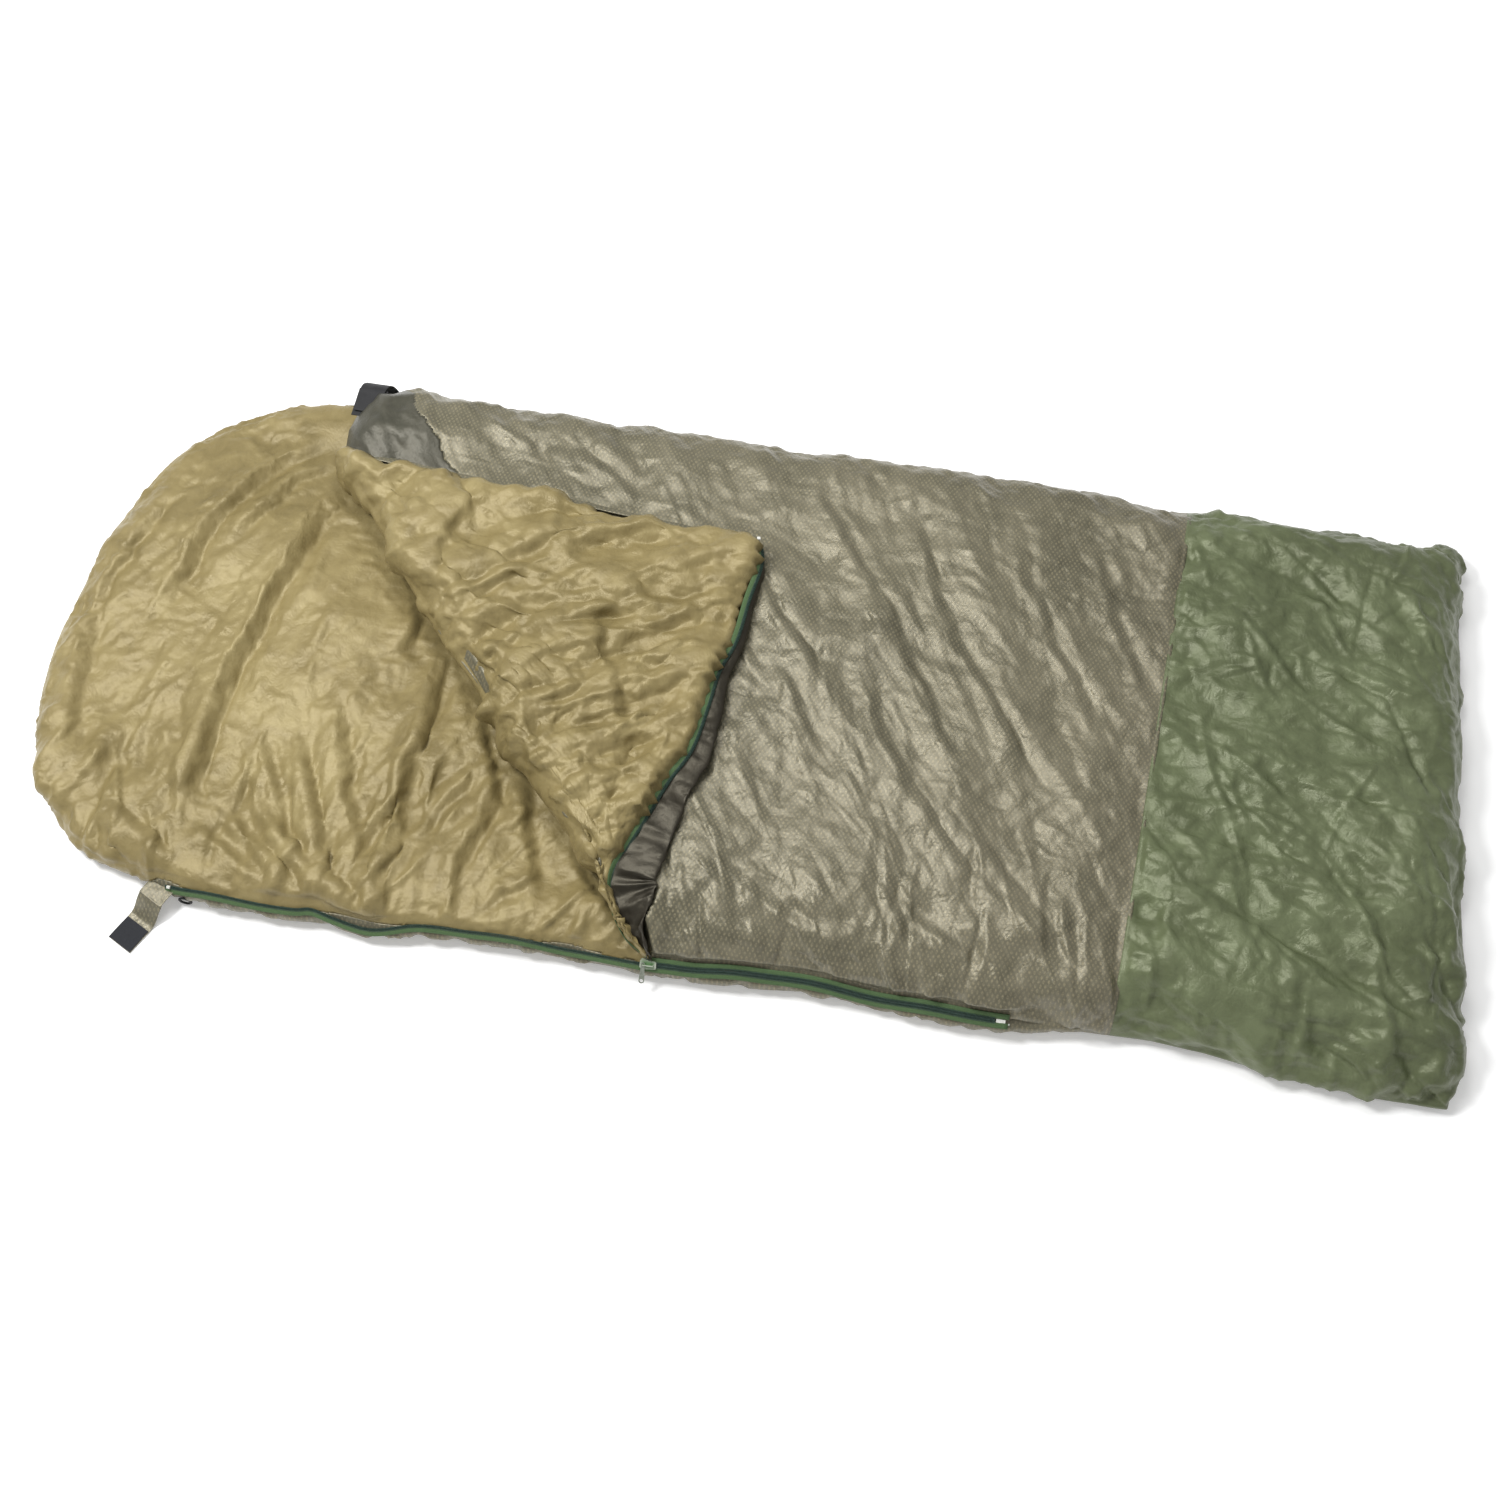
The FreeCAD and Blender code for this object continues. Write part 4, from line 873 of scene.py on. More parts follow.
STEP = .0085
G, nr, nc = cover_grid("cover", None, SEAM_X + .004, STEP)
cover, T = make_cover("cover_shell_soft", G, nr, nc, False, (True, True))
c = coords(cover)
r = (c[:, 0] - S0[0]) * AN[0] + (c[:, 1] - S0[1]) * AN[1]
tt = T.ravel()
pin = np.maximum.reduce([1 - smooth(tt / .03), 1 - smooth((1 - tt) / .03), 1 - smooth(np.abs(c[:, 0] - seam_x(c[:, 1])) / .02), (1 - smooth((r - .0) / .04)) * 1.0, 1 - smooth((c[:, 0] + .73) / .03)])
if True: cloth_pass(cover, 12, pin, .0030, shrink=-0.010, pressure=0, bend=.3)
sub = cover.modifiers.new("sub", "SUBSURF"); sub.levels = sub.render_levels = 1; bake(cover)
c = crisp_cover(cover, False)
r = (c[:, 0] - S0[0]) * AN[0] + (c[:, 1] - S0[1]) * AN[1]
under = smooth((.25 - r) / .1) * smooth((.25 - c[:, 1]) / .04) * smooth((-.02 - c[:, 0]) / .05)
c[:, 2] = np.where(under > .5, np.minimum(c[:, 2], .1085), c[:, 2])     # flat where the folded corner lies on it
# pressed down where the border of the opened corner lies, from the slider up
zb = catmull(ZIPE, 200)
tz = np.gradient(zb[:, :2], axis=0); tz /= np.linalg.norm(tz, axis=1)[:, None]
oz = np.stack([tz[:, 1], -tz[:, 0]], 1) * .8 + np.array([1.0, -.1]) * .2
sel = np.nonzero((c[:, 1] < -.10) & (c[:, 0] < .12) & (c[:, 0] > -.30))[0]
q = c[sel]
dd = np.hypot(q[:, None, 0] - zb[None, :, 0], q[:, None, 1] - zb[None, :, 1])
jn = dd.argmin(1); bj = jn / 199.0
sj = ((q[:, :2] - zb[jn, :2]) * oz[jn]).sum(1)
bw = np.interp(bj, BUL_B, BUL_V)
wj = smooth((sj + .006) / .008) * (1 - smooth((sj - bw * .80) / .012)) * (1 - smooth((bj - .30) / .10)) * (dd.min(1) < .10)
zt = np.maximum(zb[jn, 2] - .014, .046) + np.maximum(sj, 0) * .25
c[sel, 2] = q[:, 2] * (1 - wj) + np.minimum(q[:, 2], zt) * wj
c = behind_zip(c)
setco(cover, c)
fc = face_centres(cover)
# the far head corner of the cover takes the darker grey cloth: partly a grey facing, partly painted shade of the roll
corner_shade_mask = (fc[:, 1] > .262) & (fc[:, 0] < -.535 - (fc[:, 1] - .30) * .85 + .010 * noise(fc[:, 0], fc[:, 1], .03, 63))
corner_shade_facing = split(cover, corner_shade_mask, "corner_shade_facing_soft")
rest_ = split(cover, ~corner_shade_mask, "cover_tmp")
bpy.data.objects.remove(cover); cover = rest_; cover.name = "cover_shell_soft"
solidify(corner_shade_facing, .0008); setmat(corner_shade_facing, M_GREYL_SHADE)
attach(corner_shade_facing, "bag")
solidify(cover, .0008)
setmat(cover, M_TAUPE)
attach(cover, "bag"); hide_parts("cover_shell", "cover_insulation")

G, nr, nc = cover_grid("foot", SEAM_X - .002, None, .0075, foot=True)
foot, T = make_cover("foot_panel_soft", G, nr, nc, True, (True, False))
c = coords(foot); tt = T.ravel()
pin = np.maximum.reduce([1 - smooth(tt / .03), 1 - smooth((1 - tt) / .03), 1 - smooth(np.abs(c[:, 0] - seam_x(c[:, 1])) / .02), 1 - smooth((c[:, 2] - .014) / .01)])
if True: cloth_pass(foot, 12, pin, .0035, shrink=-0.015, pressure=0, bend=.25)
sub = foot.modifiers.new("sub", "SUBSURF"); sub.levels = sub.render_levels = 1; bake(foot)
c = crisp_cover(foot, True)
setco(foot, c)
solidify(foot, .0009)
setmat(foot, M_GREEN)
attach(foot, "bag"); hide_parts("foot_panel")
print("cover done")

# inner skin of the cover: gold ceiling of the cavity
nr, nc = 60, 50
V = np.zeros((nr, nc, 3))
ys = np.linspace(-.425, .430, nc)
lens = []
for i, s in enumerate(np.linspace(0, 1, nr)):
    xs = x_start(ys) + .010
    X = xs + (1.015 - xs) * s
    ins = smooth((X - .36) / .12)
    Y = ys * (1 - .075 * ins)
    V[i, :, 0], V[i, :, 1] = X, Y
    V[i, :, 2] = .0655 + .003 * fbm(X, Y, .12, 61) + .002 * facets(X, Y, .06, 62, deg=-60, stretch=2) - .010 * smooth((np.abs(ys) - .34) / .1) * (1 - ins)
xs = x_start(ys) + .010
ceil = new_mesh("cover_lining_soft", V.reshape(-1, 3), grid_faces(nr, nc))
solidify(ceil, .0008)
setmat(ceil, M_GOLD)
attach(ceil, "bag"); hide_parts("cover_lining")
print("ceiling done")
# ------------------------------------------------------------------ opened corner
FLAP_FOLDS = {
  "a": [(-0.647, 0.246), (-0.514, 0.155), (-0.439, 0.112), (-0.308, 0.088)],
  "b": [(-0.531, 0.096), (-0.422, 0.042), (-0.294, 0.028), (-0.181, 0.083)],
  "c": [(-0.498, 0.029), (-0.400, 0.082), (-0.283, 0.193), (-0.191, 0.209)],
  "d": [(-0.315, -0.149), (-0.235, -0.101), (-0.149, -0.000), (-0.078, 0.029)],
  "e": [(-0.278, -0.176), (-0.180, -0.143), (-0.088, -0.076)],
  "f": [(-0.249, 0.036), (-0.198, -0.061), (-0.155, -0.155)],
  "g": [(-0.512, 0.211), (-0.515, 0.099), (-0.517, 0.044)],
  "h": [(-0.436, -0.031), (-0.338, -0.050), (-0.264, -0.106)],
  "i": [(-0.235, -0.235), (-0.166, -0.207), (-0.098, -0.179)],
  "j": [(-0.256, 0.143), (-0.181, 0.083), (-0.088, 0.081), (-0.034, 0.125)],
  "k": [(-0.650, 0.304), (-0.541, 0.264), (-0.472, 0.180)],
}
nb = int(1.0 / .0072)
LB = catmull(FOLD, nb)
RB = catmull(ZIPE, nb)

def flap_sections():
    rows_top, rows_bot = [], []
    na_roll, na_flat, na_end = 15, 62, 5
    for i in range(nb):
        L, Rr = LB[i], RB[i]
        b = i / (nb - 1)
        w = np.linalg.norm(Rr[:2] - L[:2])
        dirp = (Rr[:2] - L[:2]) / max(w, 1e-6)
        R = min(.046, .30 * w + .004)
        Rz = min(.045, .38 * w + .006)
        zc = L[2]
        ztop = min(zc + Rz, .1515)
        sec = []
        for a in np.linspace(-90, 90, na_roll):
            a = math.radians(a)
            sec.append(np.r_[L[:2] + dirp * R * (1 - math.cos(a)), zc + Rz * math.sin(a)])
        p0 = L[:2] + dirp * R
        p1 = Rr[:2]
        flatw = np.linalg.norm(p1 - p0)
        zend = Rr[2]
        rend = min(.022, .3 * w)
        for k in range(1, na_flat + 1):
            u = k / na_flat
            q = p0 + (p1 - p0) * u
            dist = (1 - u) * flatw
            zz = ztop + (zend + .016 - ztop) * u ** 1.15
            drop = 1 - math.sqrt(max(0, 1 - (1 - min(dist / rend, 1)) ** 2))
            sec.append(np.r_[q, zz - drop * .016])
        sec = np.array(sec)
        rows_top.append(sec)
        # outer face, underneath: from the zip edge back to the fold line
        bul = float(np.interp(b, BUL_B, BUL_V))
        tz = RB[min(i + 1, nb - 1)][:2] - RB[max(i - 1, 0)][:2]
        out = np.array([tz[1], -tz[0]]) / max(np.linalg.norm(tz), 1e-9)
        out = out * .8 + np.array([1.0, -.1]) * .2
        foot_xy = Rr[:2] + out * bul
        zf_ = float(cover_z_at(foot_xy[0], foot_xy[1])) + .004
        c0 = np.r_[Rr[:2], zend - .0015]
        c1 = np.r_[Rr[:2] + out * bul * .62, zf_ + (zend - zf_) * .50 + .004]
        c1b = np.r_[Rr[:2] + out * bul * .95, zf_ + .006]
        axis_t = (L[:2] - S0) @ AD
        foldp = S0 + AD * axis_t
        if (L[:2] - foldp) @ AN > -.004: foldp = foldp + AN * ((L[:2] - foldp) @ AN + .008)
        c2z = .1115 if b > .25 else .056 + (.1115 - .056) * smooth(b / .25)
        c2 = np.r_[Rr[:2] - dirp * .010, min(c2z, zend - .004)]
        c3 = np.r_[foldp + AN * .003, c2z]
        path = [c0, c1, c1b, np.r_[Rr[:2] + out * bul * .6, min(zf_ + .002, c2z)], c2]
        pp = catmull(path, 22)
        tail = np.linspace(c2, c3, 76)[1:]
        rows_bot.append(np.vstack([pp, tail]))
    return np.array(rows_top), np.array(rows_bot)

GT, GB = flap_sections()
# the head edge rounds down over its last centimetres
nbk = GT.shape[0]
for i in range(nbk):
    dist = np.linalg.norm(LB[-1][:2] - LB[i][:2])
    e = min(dist / .028, 1)
    k = math.sqrt(max(0, 1 - (1 - e) ** 2))
    zz = GT[i, :, 2]
    low = .122
    GT[i, :, 2] = np.where(zz > low, low + (zz - low) * k, zz)
n = grid_normals(GT)
if n[nbk // 2, GT.shape[1] // 2, 2] < 0: n = -n
x, y = GT[:, :, 0], GT[:, :, 1]
arc = np.cumsum(np.r_[np.zeros((1, nbk)).T.reshape(1, nbk), np.linalg.norm(np.diff(GT, axis=1), axis=2).T]).reshape(-1)[:0]
ua = np.concatenate([np.zeros((nbk, 1)), np.cumsum(np.linalg.norm(np.diff(GT, axis=1), axis=2), axis=1)], axis=1)
vb = np.tile(np.linspace(0, 1.0, nbk)[:, None], (1, GT.shape[1]))
vl = vb * 1.02
d = .005 * fbm(ua, vl, .24, 71) + .0016 * fbm(ua, vl, .09, 72)
d += .0028 * facets(ua, vl, .085, 73, deg=35, stretch=2.0)
for k, pts in FLAP_FOLDS.items():
    d += .0068 * polyline_field(x + .006 * noise(ua, vl, .05, 75), y + .006 * noise(ua, vl, .05, 76), pts, .013)
# gathers across the rolled fold
roll = np.exp(-((ua - .05) / .07) ** 2)
d += roll * .0075 * facets(ua * .4, vl, .06, 77, deg=8, stretch=1.8)
d += -.012 * np.exp(-((ua - .12) / .05) ** 2) * smooth(noise(ua * .3, vl, .11, 78) * 1.6)      # dents in the roll
d = np.where(ua < .075, np.maximum(d, -.001) + .002, d)
wid = ua[:, -1:]
edge = smooth(ua / .02) * smooth((wid - ua) / .014) * smooth(vb / .05) * smooth((1 - vb) / .012 + .15)
GT = GT + n * (d * edge)[:, :, None]
flap = new_mesh("flap_lining_soft", GT.reshape(-1, 3), grid_faces(*GT.shape[:2], flip=True))
pin = np.maximum.reduce([1 - smooth(ua / .03), 1 - smooth((wid - ua) / .02), 1 - smooth(vb / .04), 1 - smooth((1 - vb) / .02)]).ravel()
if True: cloth_pass(flap, 12, pin, .0035, shrink=-0.015, pressure=0, bend=.25)
sub = flap.modifiers.new("sub", "SUBSURF"); sub.levels = sub.render_levels = 1; bake(flap)
c = coords(flap); nrm = normals(flap)
if nrm[:, 2].mean() < 0: nrm = -nrm
FB = (-.76, .02, -.46, .32)
rr_ = (c[:, 0] - S0[0]) * AN[0] + (c[:, 1] - S0[1]) * AN[1]
px = c[:, 0] - AN[0] * (.150 - c[:, 2]) * smooth((.10 - rr_) / .08)
py = c[:, 1] - AN[1] * (.150 - c[:, 2]) * smooth((.10 - rr_) / .08)
def fdir(cx, cy):
    s_ = (cx - S0[0]) * AN[0] + (cy - S0[1]) * AN[1]
    k = float(smooth((.16 - s_) / .14))
    return 25 * (1 - k) + 60 * k
ft = .34 * foil(px, py, .10, 181, deg=30, stretch=1.9) + .28 * foil(px, py, .045, 182, deg=48, stretch=1.6) + .14 * foil(px, py, .022, 183, deg=10, stretch=1.5)
ft += tents(px, py, 170, 81, FB, (.08, .22), (.009, .018), fdir, 18, .38, asym=(.3, 1.3))
ft += tents(px, py, 300, 82, FB, (.025, .09), (.005, .010), fdir, 36, .34)
ft += tents(px, py, 90, 84, (-.45, .0, -.44, .0), (.05, .14), (.007, .013), 38, 14, .40)
ft = np.where(rr_ < .03, np.maximum(ft, -.003), ft)
zedge = np.min(np.hypot(c[:, None, 0] - RB[None, ::4, 0], c[:, None, 1] - RB[None, ::4, 1]), axis=1)
c += nrm * (ft * smooth(zedge / .016))[:, None]
c[:, 2] = np.where(c[:, 2] > .150, .150 + .0125 * np.tanh((c[:, 2] - .150) / .0125), c[:, 2])
setco(flap, c)
solidify(flap, .0008)
setmat(flap, M_GOLD)
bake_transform(flap)
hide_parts("flap_lining", "flap_insulation")

x, y = GB[:, :, 0], GB[:, :, 1]
nB = grid_normals(GB)
ub = np.concatenate([np.zeros((nbk, 1)), np.cumsum(np.linalg.norm(np.diff(GB, axis=1), axis=2), axis=1)], axis=1)
vb = np.tile(np.linspace(0, 1.0, nbk)[:, None], (1, GB.shape[1]))
db = .009 * facets(ub * .35, vb, .034, 91, deg=12, stretch=2.0) * smooth(ub / .012) * smooth((.10 - ub) / .03) * smooth((.75 - vb) / .3)
db += .006 * facets(ub, vb, .018, 92, deg=12, stretch=2.4) * smooth(ub / .012) * smooth((.10 - ub) / .03)
sg = 1.0
if nB[nbk // 2, 3, 0] < 0: sg = -1.0
GB = GB + nB * (sg * db)[:, :, None]
SPL = 21
# the hidden side of the folded corner is creased too: dents go inwards, into the wadding
xt_, yt_ = GB[:, :, 0].ravel(), GB[:, :, 1].ravel()
dn = .30 * foil(xt_, yt_, .11, 191, deg=-50, stretch=2.2) + .20 * foil(xt_, yt_, .05, 192, deg=-35, stretch=1.8) + .006 * fbm(xt_, yt_, .22, 193)
dn += .9 * tents(xt_, yt_, 160, 194, FB, (.08, .22), (.008, .016), lambda a, b: -58, 16, .34)
dn = np.clip(dn - np.percentile(dn, 4), 0, .015).reshape(GB.shape[:2])
ut_ = np.linspace(0, 1, GB.shape[1] - SPL)[None, :]
keep_ = smooth(ut_ / .08) * smooth((1 - ut_) / .05) * smooth(vb[:, :1] / .10) * smooth((1 - vb[:, :1]) / .03)
keep_ = keep_ * smooth(ut_ / .22) * (.35 + .65 * smooth((1 - vb[:, :1]) / .35))
pt_ = smooth((.034 - np.abs(GB[:, SPL:, 0] + .0568)) / .006) * smooth((.034 - np.abs(GB[:, SPL:, 1] - .197)) / .006)      # flat under the loop patch
GB[:, SPL:, 2] += dn[:, SPL:] * keep_ * (1 - pt_) + .0026 * pt_
# the first SPL columns of the underside, beside the zip, get the dark facing: painted shade of the shadow under the
# flap's edge, over a brown-grey cloth
for nm, G_, mat_ in (("flap_facing_shade_soft", GB[:, :SPL + 1], M_FACING_SHADE), ("flap_shell_soft", GB[:, SPL:], M_TAUPE)):
    fshell = new_mesh(nm, G_.reshape(-1, 3), grid_faces(*G_.shape[:2]))
    sub = fshell.modifiers.new("sub", "SUBSURF"); sub.levels = sub.render_levels = 1; bake(fshell)
    solidify(fshell, .0008)
    setmat(fshell, mat_)
    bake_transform(fshell)
    if nm == "flap_shell_soft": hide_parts("flap_shell")

# strip that closes the head edge between lining and shell
nh = 60
a0, a1 = GT[-1], GB[-1][::-1]
def resamp(p, n):
    s = np.r_[0, np.cumsum(np.linalg.norm(np.diff(p, axis=0), axis=1))]
    return np.stack([np.interp(np.linspace(0, s[-1], n), s, p[:, k]) for k in range(3)], 1)
up = resamp(GT[-1][12:], nh)
lo = resamp(GB[-1][::-1], nh)
lo = lo[np.argsort([0])] if False else lo
rows = []
hd = np.array([-AN[1], AN[0]]) * 0
for k, s in enumerate(np.linspace(0, 1, 7)):
    p = up * (1 - s) + lo * s
    bulge = math.sin(s * math.pi) * .010
    p = p + np.array([-.02, .999, 0]) * bulge
    rows.append(p)
H = np.array(rows)
hem = new_mesh("flap_head_hem", H.reshape(-1, 3), grid_faces(*H.shape[:2]))
sub = hem.modifiers.new("sub", "SUBSURF"); sub.levels = sub.render_levels = 1; bake(hem)
solidify(hem, .0008)
setmat(hem, M_TAUPE)
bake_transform(hem)
print("flap done")

# ------------------------------------------------------------------ zips
def frames(path, up):
    t = np.gradient(path, axis=0); t /= np.linalg.norm(t, axis=1)[:, None]
    s = np.cross(up, t); s /= np.linalg.norm(s, axis=1)[:, None]
    u = np.cross(t, s)
    return t, s, u

def ribbon(name, path, side, up, w0, w1, th, wave=0.0):
    """flat tape between offsets w0 and w1 along side, th thick, with softened edges"""
    n = len(path)
    ws = [w0, w0 + (w1 - w0) * .12, w0 + (w1 - w0) * .5, w0 + (w1 - w0) * .88, w1]
    V = []
    for k in range(n):
        ring = []
        for j, w in enumerate(ws):
            tk = th * (.5 if j in (0, 4) else 1.0) / 2
            ring.append(path[k] + side[k] * w + up[k] * tk)
        for j, w in reversed(list(enumerate(ws))):
            tk = th * (.5 if j in (0, 4) else 1.0) / 2
            ring.append(path[k] + side[k] * w - up[k] * tk)
        V.append(ring)
    V = np.array(V).reshape(-1, 3)
    m = 10
    F = []
    for k in range(n - 1):
        for j in range(m):
            a, b = k * m + j, k * m + (j + 1) % m
            F.append((a, b, b + m, a + m))
    F.append(tuple(range(m))[::-1]); F.append(tuple((n - 1) * m + j for j in range(m)))
    return new_mesh(name, V, F)

def teeth(name, path, side, up, u0, u1, pitch=.0017, hgt=.0030, phase=0.0, nseg=8):
    """rounded coil turns across the tape edge"""
    s = np.r_[0, np.cumsum(np.linalg.norm(np.diff(path, axis=0), axis=1))]
    q = np.arange(phase * pitch, s[-1], pitch)
    P = np.stack([np.interp(q, s, path[:, k]) for k in range(3)], 1)
    SD = np.stack([np.interp(q, s, side[:, k]) for k in range(3)], 1)
    UP = np.stack([np.interp(q, s, up[:, k]) for k in range(3)], 1)
    TG = np.cross(SD, UP)
    prof = []
    for a in range(nseg):
        an = 2 * math.pi * a / nseg
        prof.append((math.cos(an), math.sin(an)))
    across = [(u0, .55), (u0 + (u1 - u0) * .12, .9), (u0 + (u1 - u0) * .6, 1.0), (u0 + (u1 - u0) * .9, 1.0), (u1, .6)]
    V, F = [], []
    half = pitch * .40
    for i in range(len(q)):
        base_i = len(V)
        for (w, sc) in across:
            cpt = P[i] + SD[i] * w
            for cx, cz in prof:
                V.append(cpt + TG[i] * cx * half * (.8 + .2 * sc) + UP[i] * cz * hgt / 2 * sc)
        for r_ in range(len(across) - 1):
            for j in range(nseg):
                a, b = base_i + r_ * nseg + j, base_i + r_ * nseg + (j + 1) % nseg
                F.append((a, b, b + nseg, a + nseg))
        F.append(tuple(base_i + j for j in range(nseg))[::-1])
        F.append(tuple(base_i + (len(across) - 1) * nseg + j for j in range(nseg)))
    return new_mesh(name, np.array(V), F)

R2 = math.sqrt(.5)
def side_zip(tag, sgn, x_head_low, x_head_up, x_foot, replaces_low, wavy=True):
    """sgn -1 near side, +1 far side; side vector points up the slope, towards the cover"""
    def line(x):
        if sgn < 0:
            return np.column_stack([x, zip_y(x), zip_z(x)])
        return np.column_stack([x, np.full_like(x, -ZY), np.full_like(x, ZZ)])
    def vecs(n):
        return np.tile([0, -sgn * R2, R2], (n, 1)), np.tile([0, sgn * R2, R2], (n, 1))
    xl = np.linspace(x_head_low, x_foot + .018, int((x_foot - x_head_low) / .006))
    pl = line(xl)
    sd, up = vecs(len(xl))
    cov = M_TAPE
    o = ribbon(tag + "_lower_tape_cloth", pl, sd, up, -.0120, -.0030, .0011)
    setmat(o, M_TAPE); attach(o, "bag"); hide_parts(tag + "_lower_zip_tape")
    o = teeth(tag + "_lower_coil_turns", pl[:-3], sd[:-3], up[:-3] , -.0052, .0006, phase=0)
    setmat(o, M_COIL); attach(o, "bag"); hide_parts(tag + "_lower_zip_coil")
    xu = np.linspace(x_head_up, x_foot + .018, int((x_foot - x_head_up) / .006))
    pu = line(xu)
    sd, up = vecs(len(xu))
    o = ribbon(tag + "_upper_tape_cloth", pu, sd, up, .0030, .0115, .0011)
    setmat(o, M_TAPE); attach(o, "bag"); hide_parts(tag + "_upper_zip_tape")
    o = teeth(tag + "_upper_coil_turns", pu[:-3], sd[:-3], up[:-3], -.0006, .0052, phase=.5)
    setmat(o, M_COIL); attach(o, "bag"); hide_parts(tag + "_upper_zip_coil")

side_zip("near", -1, -.800, -.0615, .440, None)
side_zip("far", 1, -.735, -.735, .440, None)

# free half of the near zip, along the edge of the opened corner
fp = catmull(ZIPE, 150)
fp[:, 2] += .004
tg = np.gradient(fp, axis=0); tg /= np.linalg.norm(tg, axis=1)[:, None]
outw = np.cross(tg, [0, 0, 1.0]); outw /= np.linalg.norm(outw, axis=1)[:, None]
bb = np.linspace(0, 1, len(fp))[:, None]
tilt = smooth((.35 - bb) / .3) * 1.0 + .35
up = np.array([[0, 0, 1.0]]) * np.cos(tilt) + outw * np.sin(tilt)
up -= (up * tg).sum(1)[:, None] * tg; up /= np.linalg.norm(up, axis=1)[:, None]
sd = np.cross(up, tg)
if (sd * outw).sum() < 0: sd = -sd
o = ribbon("flap_zip_tape_cloth", fp, sd, up, -.0020, .0058, .0011)
setmat(o, M_TAPE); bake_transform(o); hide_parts("flap_zip_tape")
o = teeth("flap_coil_turns", fp[2:-2], sd[2:-2], up[2:-2], .0045, .0100)
setmat(o, M_COIL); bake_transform(o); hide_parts("flap_zip_coil")
# small moulded stop at the free end of that half
bpy.ops.mesh.primitive_cube_add(size=1, location=(0, 0, 0))
o = bpy.context.object; o.name = "flap_stop_clip"; o.data.name = "flap_stop_clip"
q_ = np.array([v.co[:] for v in o.data.vertices]) * np.array([.0052, .0052, .0042])
e_ = fp[-1] + tg[-1] * .002
q_ = e_ + q_[:, :1] * tg[-1] + q_[:, 1:2] * sd[-1] + q_[:, 2:] * up[-1] + sd[-1] * .006
setco(o, q_)
bv = o.modifiers.new("b", "BEVEL"); bv.width = .0009; bv.segments = 3
bake(o); setmat(o, M_WHITE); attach(o, "flap"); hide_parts("flap_top_stop")
print("zips done")

# ------------------------------------------------------------------ straps and patches
def bevel_cad(node, mat, size=.0004):
    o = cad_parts[node]
    o.data.materials.clear(); o.data.materials.append(mat)

def strap_mesh(name, prof, wide, origin, along, mat, body, nodes, ripple=.0012, th=.0018, seed=5, fold=True):
    """soft strap: centre line prof (along, height), wide across, with bevelled edges"""
    along = np.array(along) / np.linalg.norm(along)
    across = np.array([-along[1], along[0], 0])
    P = catmull(prof, 60)
    n = len(P)
    cols = 25
    V = np.zeros((n, cols, 3))
    for i in range(n):
        for j in range(cols):
            w = (j / (cols - 1) - .5) * wide
            lift = ripple * (noise(np.array(P[i, 0]), np.array(w), .02, seed) + .6 * noise(np.array(P[i, 0]), np.array(w), .009, seed + 1))
            V[i, j] = np.array(origin) + along * P[i, 0] + across * w + np.array([0, 0, P[i, 1] + float(lift)])
    o = new_mesh(name, V.reshape(-1, 3), grid_faces(n, cols))
    m = o.modifiers.new("s", "SOLIDIFY"); m.thickness = th; m.offset = 0
    b = o.modifiers.new("b", "BEVEL"); b.width = .0004; b.segments = 2; b.limit_method = "ANGLE"
    bake(o)
    setmat(o, mat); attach(o, body)
    if nodes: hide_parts(*nodes)
    return o

RD = np.array([-0.45, -0.893, 0.0]); RD /= np.linalg.norm(RD)
NR = (-.818, -.4745, .030)
strap_mesh("near_tab_cloth", [(-.001, .0005), (.010, -.009), (.020, -.021), (.029, -.0272), (.045, -.0280), (.062, -.0281), (.078, -.0283)], .044, NR, RD, M_TAUPE, "near_tab", ["near_closure_tab"], ripple=.0009, th=.0014)
strap_mesh("near_tab_root_cloth", [(-.046, -.004), (-.032, .0005), (-.014, .0018), (.002, .0002)], .043, NR, RD, M_TAUPE, "bag", [], ripple=.0009, th=.0014, seed=21)
strap_mesh("near_hook_pad", [(.037, -.0264), (.050, -.0264), (.064, -.0265), (.0775, -.0266)], .0425, NR, RD, M_BLACKH, "near_tab", ["near_hook_patch"], ripple=.0004, th=.0016, seed=9)
FR = (-.699, .4695, .030)
cz = .0805
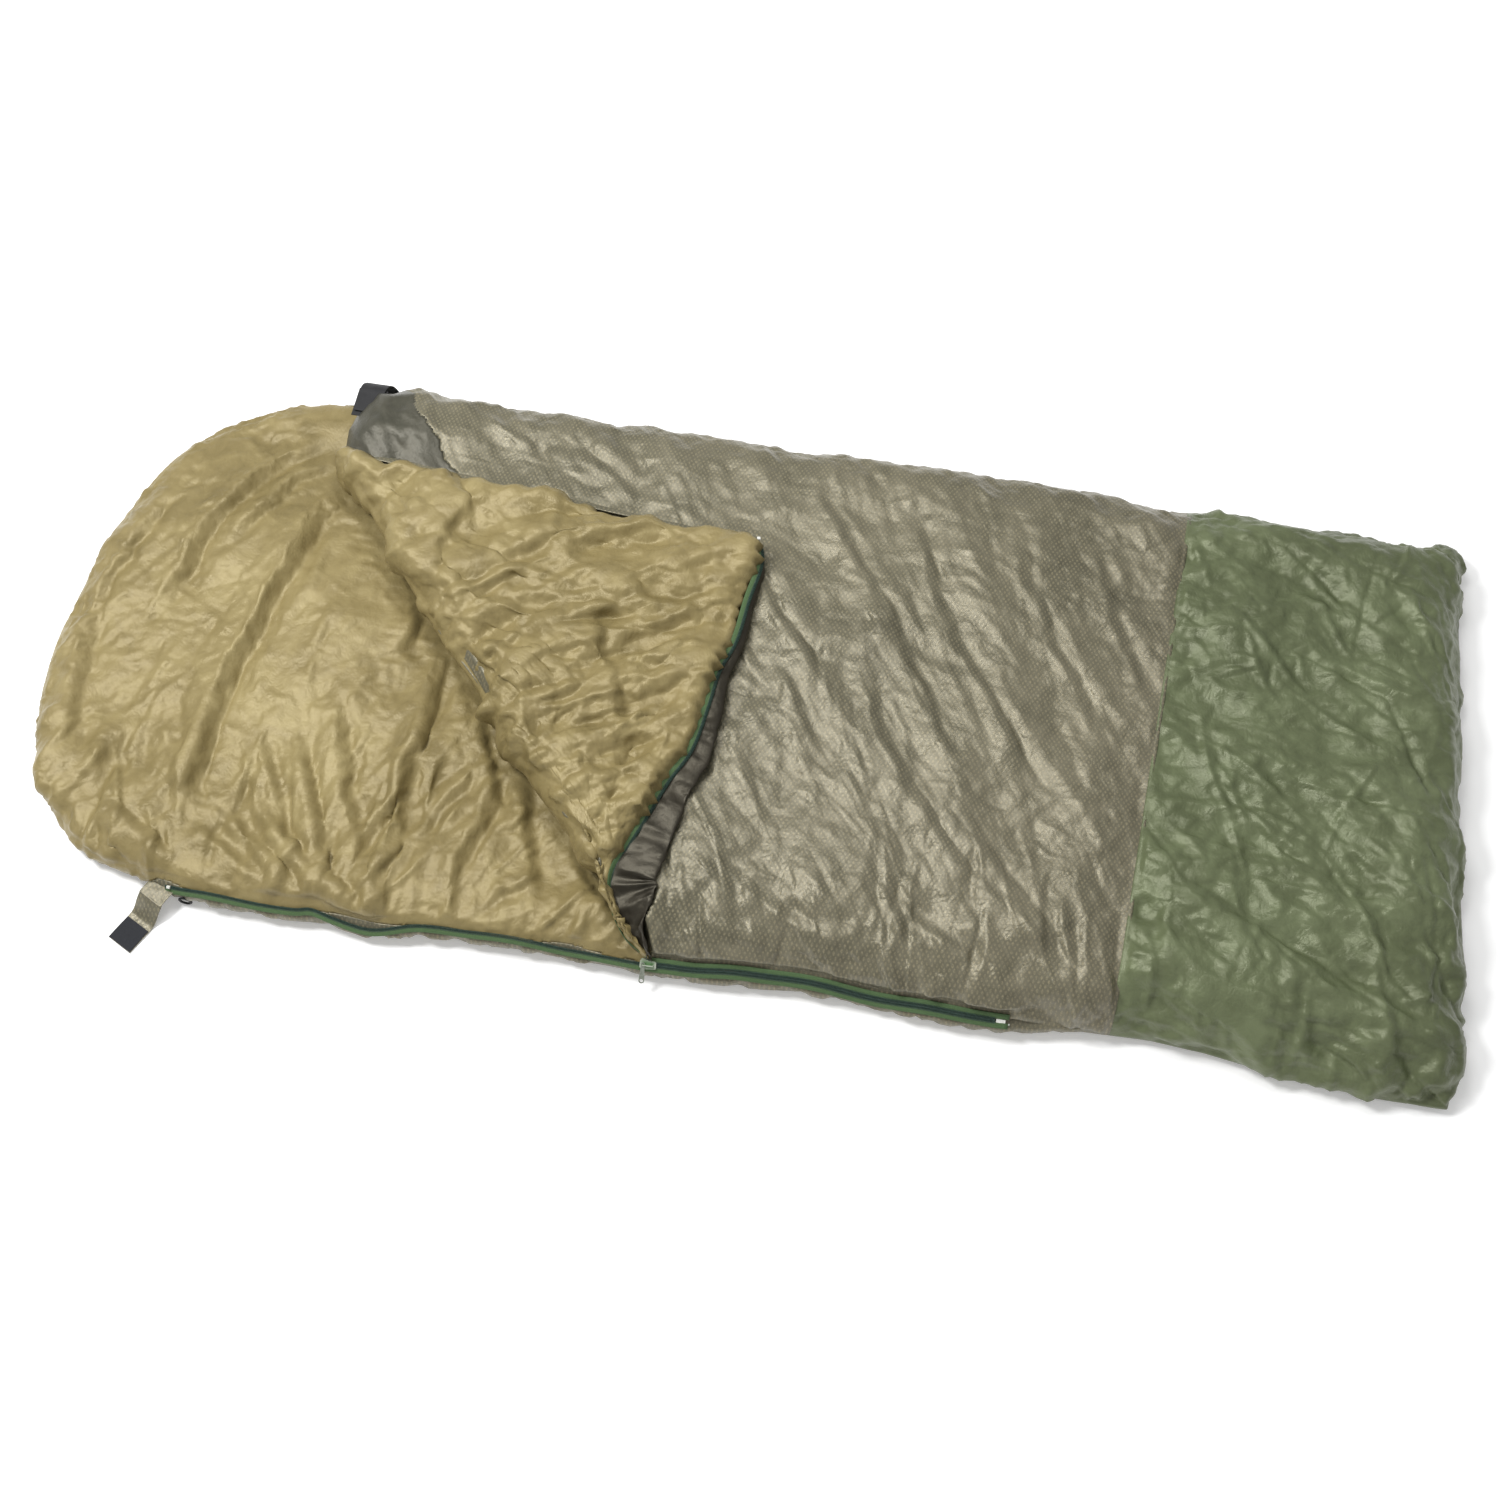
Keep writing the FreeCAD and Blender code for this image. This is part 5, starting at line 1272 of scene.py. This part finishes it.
strap_mesh("far_tab_cloth", [(-.0018, -.001), (-.002, .015), (-.004, .027), (-.016, .055), (-.032, .076), (-.046, cz + .0048), (-.060, cz + .0050), (-.078, cz + .0049), (-.092, cz + .0046)], .042, FR, (0, 1, 0), M_BLACKW, "far_tab", ["far_closure_tab"], ripple=.0006, th=.0014, seed=13)
strap_mesh("far_hook_pad", [(-.050, cz + .0030), (-.064, cz + .0031), (-.078, cz + .0031), (-.091, cz + .0030)], .038, FR, (0, 1, 0), M_BLACKH, "far_tab", ["far_hook_patch"], ripple=.0002, th=.0012, seed=17)
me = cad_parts["far_loop_patch"].data; me.materials.clear(); me.materials.append(M_BLACKW)
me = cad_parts["flap_loop_patch"].data; me.materials.clear(); me.materials.append(M_BLACKW)
print("straps done")

# ------------------------------------------------------------------ floor, light
fl = new_mesh("floor", [(-40, -40, 0), (40, -40, 0), (40, 40, 0), (-40, 40, 0)], [(0, 1, 2, 3)], False)
fl.location.z = -.0006
mf, nt, b = mat_new("floor_pale")
b.inputs["Base Color"].default_value = (.96, .96, .96, 1); b.inputs["Emission Color"].default_value = (1, 1, 1, 1); b.inputs["Emission Strength"].default_value = .20; b.inputs["Roughness"].default_value = .9
b.inputs["Specular IOR Level"].default_value = 0.1
setmat(fl, mf)

def area(name, loc, target, size, power, sy=None):
    d = bpy.data.lights.new(name, "AREA")
    d.energy = power; d.size = size
    if sy: d.shape = "RECTANGLE"; d.size_y = sy
    o = bpy.data.objects.new(name, d); scene.collection.objects.link(o)
    o.location = loc
    o.rotation_euler = (Vector(target) - Vector(loc)).to_track_quat("-Z", "Y").to_euler()
    return o
area("key", (-1.9, -.05, 3.2), (0, 0, 0), .9, 104)
area("top", (-.35, .85, 2.9), (0, .1, 0), 1.2, 34)
area("fill", (1.6, -2.2, 2.8), (0, 0, 0), 2.4, 9)
w = bpy.data.worlds.new("studio"); scene.world = w; w.use_nodes = True
w.node_tree.nodes["Background"].inputs[0].default_value = (1, 1, 1, 1)
w.node_tree.nodes["Background"].inputs[1].default_value = .40
scene.view_settings.view_transform = "Standard"
scene.view_settings.look = "None"
scene.view_settings.exposure = 0.0

bpy.context.view_layer.update()
